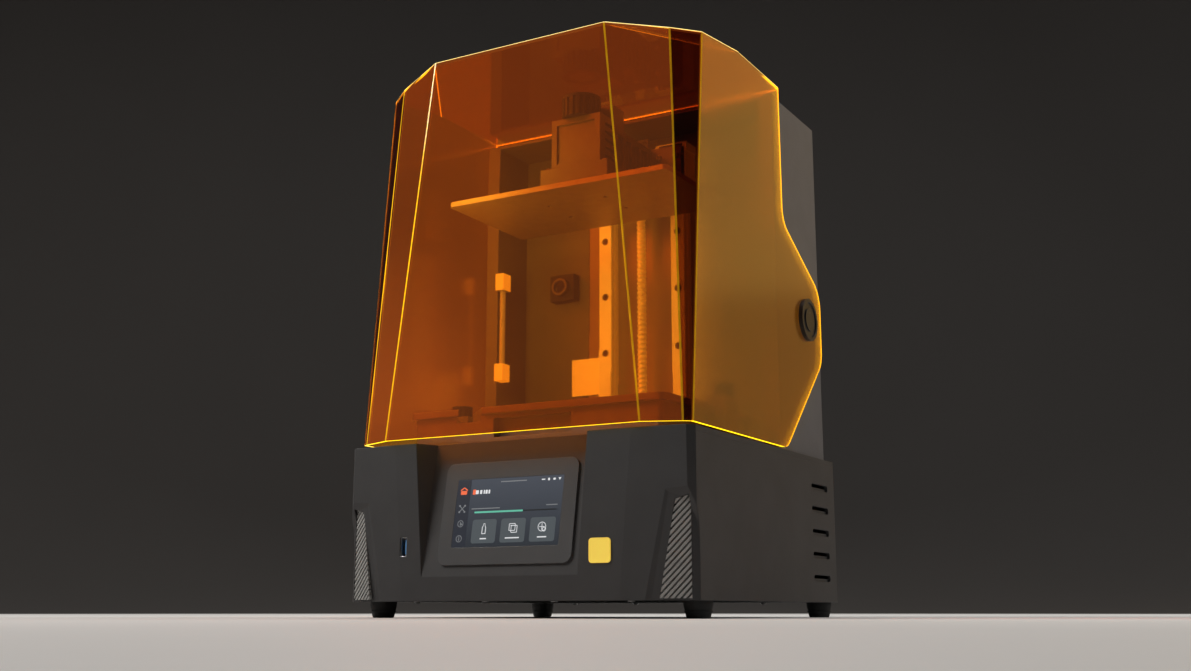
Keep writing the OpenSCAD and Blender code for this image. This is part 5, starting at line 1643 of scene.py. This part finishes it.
@dataclass
class Hood:
    """Tinted hood, one bent and glued shell with polished edges that glow as painted highlights.

    Args:
        sheet: Thickness of the sheet.
        pane_foot: Half width of the front pane at its foot.
        facet_in: Distance from the side at which the narrow facet starts.
        crown_run: Distance from the front to the crown facet's rear end.
        pane_lean: Backward lean of the front pane, in degrees.
        corner_turn: Turn of the corner panes about Z, in degrees.
        corner_lean: Lean of the corner panes, in degrees.
        narrow_turn: Turn of the narrow facets about Z, in degrees.
        narrow_lean: Lean of the narrow facets, in degrees.
        crown_turn: Turn of the crown facets about Z, in degrees.
        crown_fall: Fall of the crown facets from the level, in degrees.
        seam: Width of the seams between panes, which carry a painted glow.
        crest: Depth below the top within which seams count as top seams, which carry a painted
            highlight.
        short: Length up to which edges near the top are merged before the seams are cut.
        hub: Diameter of the hole for the hinge hub.
        cap: Diameter of the hinge cap.
        weld: Distance within which corners are joined after cutting.
        flat: Angle up to which faces count as one plane, in degrees.
        seam_from: Length from which an edge between panes gets a seam.
        seam_angle: Angle from which an edge between panes gets a seam, in degrees.
    """

    sheet: float = 3.0
    pane_foot: float = 128.0
    facet_in: float = 7.0
    crown_run: float = 125.5
    pane_lean: float = 1.6
    corner_turn: float = 22.9
    corner_lean: float = 3.8
    narrow_turn: float = 35.5
    narrow_lean: float = 4.0
    crown_turn: float = 56.4
    crown_fall: float = 15.1
    seam: float = 0.9
    crest: float = 60.0
    short: float = 2.4
    hub: float = 24.4
    cap: float = 42.0
    weld: float = 0.01
    flat: float = 0.3
    seam_from: float = 6.0
    seam_angle: float = 6.0

    NODES = ("hood_front", "hood_corners", "hood_facets", "hood_side_left", "hood_side_right",
             "hood_crowns",
             "hood_roof")

    def __post_init__(self) -> None:
        """Takes the hood's place from the frame."""
        self.box = Extent.of(*self.NODES)
        self.half = self.box.high.x
        self.front = self.box.low.y
        self.foot = self.box.low.z
        self.top = self.box.high.z
        hinge = Extent.of("hinge_caps")
        self.hinge = hinge.mid
        run = self.half - self.facet_in - self.pane_foot
        self.panes = {
            "front": Pane((0, self.front, self.foot), -self.pane_lean, 0),
            "corner": Pane((self.pane_foot, self.front, self.foot), -self.corner_lean, self.corner_turn),
            "narrow": Pane((self.half - self.facet_in,
                            self.front + run * math.tan(math.radians(self.corner_turn)),
                            self.foot), -self.narrow_lean, self.narrow_turn),
            "crown": Pane((self.half, self.front + self.crown_run, self.top), self.crown_fall - 90,
                          self.crown_turn),
        }

    def solid(self, inset: float, extra: float) -> bpy.types.Object:
        """Convex form of the hood behind all its panes.

        Args:
            inset: Distance by which the panes are moved inward.
            extra: Distance by which the open bottom and back are moved outward.

        Returns:
            A temporary object.
        """
        bm = bmesh.new()
        bmesh.ops.create_cube(bm, size=1)
        low = Vector((-self.half + inset, self.front - 20, self.foot - extra))
        high = Vector((self.half - inset, self.box.high.y + 30 + extra, self.top - inset))
        for v in bm.verts:
            v.co = Vector([low[i] if v.co[i] < 0 else high[i] for i in range(3)])
        planes = []
        for name, pane in self.panes.items():
            planes.append((Vector(pane.point), pane.inward))
            if name != "front":
                planes.append(pane.mirrored())
        for point, inward in planes:
            bmesh.ops.bisect_plane(bm, geom=bm.verts[:] + bm.edges[:] + bm.faces[:],
                                   plane_co=point + inward * inset,
                                   plane_no=-inward, clear_outer=True)
            rim = [e for e in bm.edges if e.is_boundary]
            if rim:
                bmesh.ops.edgeloop_fill(bm, edges=rim)
        bmesh.ops.recalc_face_normals(bm, faces=bm.faces[:])
        return self.keep(bm, "hood_solid")

    def outline(self, steps: int = 14) -> list[Point2]:
        """Side outline of the hood as (y, z), with the ears that reach the hinge.

        Args:
            steps: Segments of each rounded corner.

        Returns:
            Points in order.
        """
        y, z = self.hinge.y, self.hinge.z
        back = y + self.cap / 2 + 20
        roof = Extent.of("hood_roof").high.y
        past = self.front - 40
        # y, z and corner radius
        corners = [(past, self.foot, 0), (y - 60, self.foot, 20), (back, z - 37, 28),
                   (back, z + 35, 30), (roof + 2, z + 87, 25), (roof, self.top + 5, 0),
                   (past, self.top + 5, 0)]
        points: list[Point2] = []
        for i, (py, pz, r) in enumerate(corners):
            if r == 0:
                points.append((py, pz))
                continue
            p = Vector((py, pz))
            a = (Vector(corners[i - 1][:2]) - p).normalized()
            b = (Vector(corners[(i + 1) % len(corners)][:2]) - p).normalized()
            half = a.angle(b) / 2
            centre = p + (a + b).normalized() * r / math.sin(half)
            start, end = p + a * r / math.tan(half) - centre, p + b * r / math.tan(half) - centre
            turn = start.angle_signed(end)
            for k in range(steps + 1):
                t = -turn * k / steps
                points.append((centre.x + start.x * math.cos(t) - start.y * math.sin(t),
                               centre.y + start.x * math.sin(t) + start.y * math.cos(t)))
        return points

    def keep(self, bm: bmesh.types.BMesh, name: str) -> bpy.types.Object:
        """Turns a working mesh into a temporary object.

        Args:
            bm: The mesh; it is freed.
            name: Name of the object.

        Returns:
            The object.
        """
        mesh = bpy.data.meshes.new(name)
        bm.to_mesh(mesh)
        bm.free()
        made = bpy.data.objects.new(name, mesh)
        bpy.context.scene.collection.objects.link(made)
        return made

    def cut(self, target: bpy.types.Object, tool: bpy.types.Object, how: str) -> None:
        """Applies a solid operation and removes the tool.

        Args:
            target: Object that changes.
            tool: Object that is used up.
            how: DIFFERENCE or INTERSECT.
        """
        step = target.modifiers.new("cut", "BOOLEAN")
        step.operation = how
        step.solver = "EXACT"
        step.object = tool
        graph = bpy.context.evaluated_depsgraph_get()
        done = bpy.data.meshes.new_from_object(target.evaluated_get(graph))
        target.modifiers.clear()
        target.data = done
        bpy.data.objects.remove(tool)

    def shell(self) -> bpy.types.Mesh:
        """Hollow hood with seams and cut edges told apart by material index.

        Returns:
            The mesh in metres.
        """
        body = self.solid(0.0, 0.0)
        self.cut(body, self.solid(self.sheet, 40.0), "DIFFERENCE")
        side = Shape().prism(self.outline(), -self.half - 10, self.half + 10,
                             axes((0, 0, 0), (0, 1, 0), (0, 0, 1)))
        self.cut(body, self.keep(side.bm, "hood_side_form"), "INTERSECT")
        for sign in (-1, 1):
            drill = Shape().prism(disc(self.hub / 2, sides=48), -10, 10,
                                  axes((sign * self.half, self.hinge.y, self.hinge.z), (0, 1, 0),
                                       (0, 0, 1)))
            self.cut(body, self.keep(drill.bm, "hood_drill"), "DIFFERENCE")
        bm = bmesh.new()
        bm.from_mesh(body.data)
        bpy.data.objects.remove(body)
        bmesh.ops.remove_doubles(bm, verts=bm.verts[:], dist=self.weld)
        bmesh.ops.dissolve_limit(bm, angle_limit=math.radians(self.flat), verts=bm.verts[:],
                                 edges=bm.edges[:])
        self.sort_faces(bm)
        crest_z = self.top - self.crest
        high = [v for v in bm.verts if v.co.z > crest_z]
        bmesh.ops.remove_doubles(bm, verts=high, dist=self.short)
        # seams between panes take the painted-glow material
        seams = [e for e in bm.edges if len(e.link_faces) == 2 and e.calc_length() > self.seam_from
                 and e.is_convex and e.calc_face_angle(0) > math.radians(self.seam_angle)
                 and all(f.material_index != HoodFace.CUT for f in e.link_faces)]
        bmesh.ops.bevel(bm, geom=seams, offset=self.seam, segments=2, profile=0.5, affect="EDGES",
                        clamp_overlap=False, material=HoodFace.SEAM)
        for vert in bm.verts:
            vert.co.z = min(vert.co.z, self.top)
        # seams near the top take the painted-highlight material
        for face in bm.faces:
            if face.material_index == HoodFace.SEAM and face.calc_center_median().z > crest_z:
                face.material_index = HoodFace.CREST
        bm.transform(Matrix.Scale(MM, 4))
        mesh = bpy.data.meshes.new("hood_shell")
        bm.to_mesh(mesh)
        bm.free()
        return mesh

    def sort_faces(self, bm: bmesh.types.BMesh) -> None:
        """Marks each face with its pane's kind, and faces on no pane as cut edges.

        Args:
            bm: The hood's mesh in millimetres.
        """
        planes = [(Vector((0, 0, self.top)), Vector((0, 0, -1)), HoodFace.PANE)]
        for sign in (-1, 1):
            planes.append((Vector((sign * self.half, 0, 0)), Vector((-sign, 0, 0)), HoodFace.SIDE))
        for name, pane in self.panes.items():
            # narrow facets take the painted-shade material
            index = HoodFace.NARROW if name == "narrow" else HoodFace.PANE
            planes.append((Vector(pane.point), pane.inward, index))
            if name != "front":
                planes.append((*pane.mirrored(), index))
        for face in bm.faces:
            centre = face.calc_center_median()
            face.material_index = HoodFace.CUT
            for point, inward, index in planes:
                depth = (centre - point).dot(inward)
                level = abs(abs(face.normal.dot(inward)) - 1) < 1e-3
                if level and (abs(depth) < 0.1 or abs(depth - self.sheet) < 0.1):
                    face.material_index = index

    def dress(self, printer: Printer) -> None:
        """Builds the hood and its hinge caps.

        Args:
            printer: The printer.
        """
        # the cut edges, seams and top seams glow as painted highlights; the side panes carry a painted
        # golden sheen and the narrow facets painted shade
        finishes = [Palette.AMBER, Palette.AMBER_EDGE, Palette.AMBER_SEAM, Palette.AMBER_SIDE,
                    Palette.AMBER_PAINTED_SHADE,
                    Palette.AMBER_CREST]
        printer.add("hood_shell", self.shell(), finishes, Body.HOOD, Slot.AMBER, replaces=self.NODES)
        printer.paint(Palette.HINGE, "hinge_caps")
        self.hinge_discs(printer)

    def hinge_discs(self, printer: Printer) -> None:
        """Inlaid disc and two small screws on each hinge cap.

        Args:
            printer: The printer.
        """
        box = Extent.of("hinge_caps")
        discs, screws = Shape(), Shape()
        for x, way in ((box.low.x, FACE_LEFT), (box.high.x, FACE_RIGHT)):
            place = axes((x, self.hinge.y, self.hinge.z), *way)
            discs.lathe([(10.8, -0.6), (10.8, -0.15), (10.2, 0.0), (4.2, -0.05), (3.6, -0.5), (0, -0.5)],
                        place)
            for dz in (-7.2, 7.2):
                at = place @ Matrix.Translation((0, dz, -0.1))
                screws.pan_head(at, 1.4, 0.1, 12)
        printer.add("hinge_discs", discs, Palette.HINGE_DISC, Body.HOOD, Slot.HINGE, smooth=True)
        printer.add("hinge_disc_screws", screws, Palette.SCREW_STEEL, Body.HOOD, Slot.HINGE, smooth=True)


# ---------------------------------------------------------------- studio


@dataclass(frozen=True)
class AreaLight:
    """Soft area light that neither the camera nor the hood's sheet shows.

    Args:
        name: Name of the light.
        at: Its place in metres.
        size: Width and height in metres.
        power: Power in watts.
        colour: Its colour.
        target: Point that it faces, in metres.
        glossy: Whether it shows in reflections.
        diffuse: Whether it lights matt surfaces.
    """

    name: str
    at: Point3
    size: Point2
    power: float
    colour: RGB
    target: Point3 = (0.0, 0.0, 0.25)
    glossy: bool = True
    diffuse: bool = True

    def build(self) -> None:
        """Adds the light to the scene."""
        data = bpy.data.lights.new(self.name, "AREA")
        data.shape = "RECTANGLE"
        data.size, data.size_y = self.size
        data.energy = self.power
        data.color = self.colour
        lamp = bpy.data.objects.new(self.name, data)
        lamp.location = self.at
        facing = Vector(self.target) - Vector(self.at)
        lamp.rotation_euler = facing.to_track_quat("-Z", "Y").to_euler()
        lamp.visible_camera = False
        lamp.visible_transmission = False
        lamp.visible_glossy = self.glossy
        lamp.visible_diffuse = self.diffuse
        bpy.context.scene.collection.objects.link(lamp)


LIGHTS = (
    AreaLight("fill", (-1.74, -1.22, 1.91), (1.2, 1.2), 48, (1.0, 0.96, 0.92)),
    AreaLight("side", (1.82, 1.64, 1.39), (1.4, 1.4), 35, (1.0, 0.99, 0.98), glossy=False),
    AreaLight("side_sheen", (0.97, 1.99, 1.45), (1.3, 1.3), 2.6, (1.0, 0.58, 0.12), diffuse=False),
    AreaLight("low_sheen", (1.06, 2.16, 1.00), (1.3, 1.6), 2.2, (1.0, 0.56, 0.12), diffuse=False),
    AreaLight("top", (0.1, 0.2, 2.6), (1.6, 1.6), 18, (1.0, 0.99, 0.97)),
    AreaLight("rim", (-1.2, 2.0, 1.6), (1.2, 1.2), 9, (1.0, 0.98, 0.95)),
    AreaLight("chamber", (-0.10, -0.135, 0.36), (0.07, 0.22), 0.62, (1.0, 0.95, 0.88), (0.0, 0.09, 0.30),
              glossy=False),
)


@dataclass
class Studio:
    """Pale floor, dark wall, soft lights and the camera.

    Args:
        radius: Distance of the wall, in metres.
        bend: Radius of the curve between floor and wall, in metres.
        height: Height of the wall, in metres.
        sky: Colour of the even light from all sides.
        sky_strength: Its strength.
        film_mm: Width of the camera's film.
        lens_mm: Focal length of the camera.
        eye: Place of the camera, in metres.
        eye_turn: Turns of the camera about X, Y and Z, in degrees.
    """

    radius: float = 3.6
    bend: float = 1.2
    height: float = 4.2
    sky: RGB = (0.86, 0.88, 0.90)
    sky_strength: float = 0.05
    film_mm: float = 36.0
    lens_mm: float = 40.06
    eye: Point3 = (0.61542, -1.0966, 0.00553)
    eye_turn: Point3 = (101.764, 0.0, 29.524)

    def build(self) -> None:
        """Sets up floor, world, lights and camera."""
        self.backdrop()
        self.world()
        for light in LIGHTS:
            light.build()
        self.camera()

    def backdrop(self) -> None:
        """Round bowl: floor, curve and wall in one surface."""
        profile: list[Point2] = [(0.0, 0.0), (self.radius - self.bend, 0.0)]
        profile += [(self.radius - self.bend + self.bend * math.sin(a),
                     self.bend - self.bend * math.cos(a))
                    for a in (math.pi / 2 * i / 16 for i in range(1, 17))]
        profile.append((self.radius, self.height))
        metres = [(r / MM, z / MM) for r, z in profile]
        mesh = Shape().lathe(metres, None, 96).mesh("studio_bowl", True)
        mesh.materials.append(Palette.FLOOR.build())
        mesh.materials.append(Palette.WALL.build())
        for face in mesh.polygons:
            face.material_index = 1 if face.center.z > 0.001 else 0
        bowl = bpy.data.objects.new("studio_bowl", mesh)
        bpy.context.scene.collection.objects.link(bowl)

    def world(self) -> None:
        """Dim even light from all sides, and colours shown without a film curve."""
        world = bpy.data.worlds.new("studio_world")
        world.use_nodes = True
        back = world.node_tree.nodes["Background"]
        back.inputs["Color"].default_value = (*self.sky, 1.0)
        back.inputs["Strength"].default_value = self.sky_strength
        bpy.context.scene.world = world
        bpy.context.scene.view_settings.view_transform = "Standard"

    def camera(self) -> None:
        """Low camera to the front right of the printer."""
        data = bpy.data.cameras.new("camera")
        data.sensor_width = self.film_mm
        data.lens = self.lens_mm
        eye = bpy.data.objects.new("camera", data)
        eye.location = self.eye
        eye.rotation_euler = tuple(math.radians(a) for a in self.eye_turn)
        bpy.context.scene.collection.objects.link(eye)
        bpy.context.scene.camera = eye


def clear_start() -> None:
    """Removes whatever the start file holds."""
    for thing in list(bpy.data.objects):
        bpy.data.objects.remove(thing)


def main() -> None:
    """Builds the printer's looks, the studio and the camera."""
    logging.basicConfig(level=logging.INFO, format="%(name)s: %(message)s")
    clear_start()
    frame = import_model()
    printer = Printer(frame)
    for part in (BaseShell(), TouchScreen(), FrontDetails(), BaseInside(), Tower(), Lift(), Vat(),
                 Hood()):
        part.dress(printer)
    Studio().build()


if __name__ == "__main__":
    main()
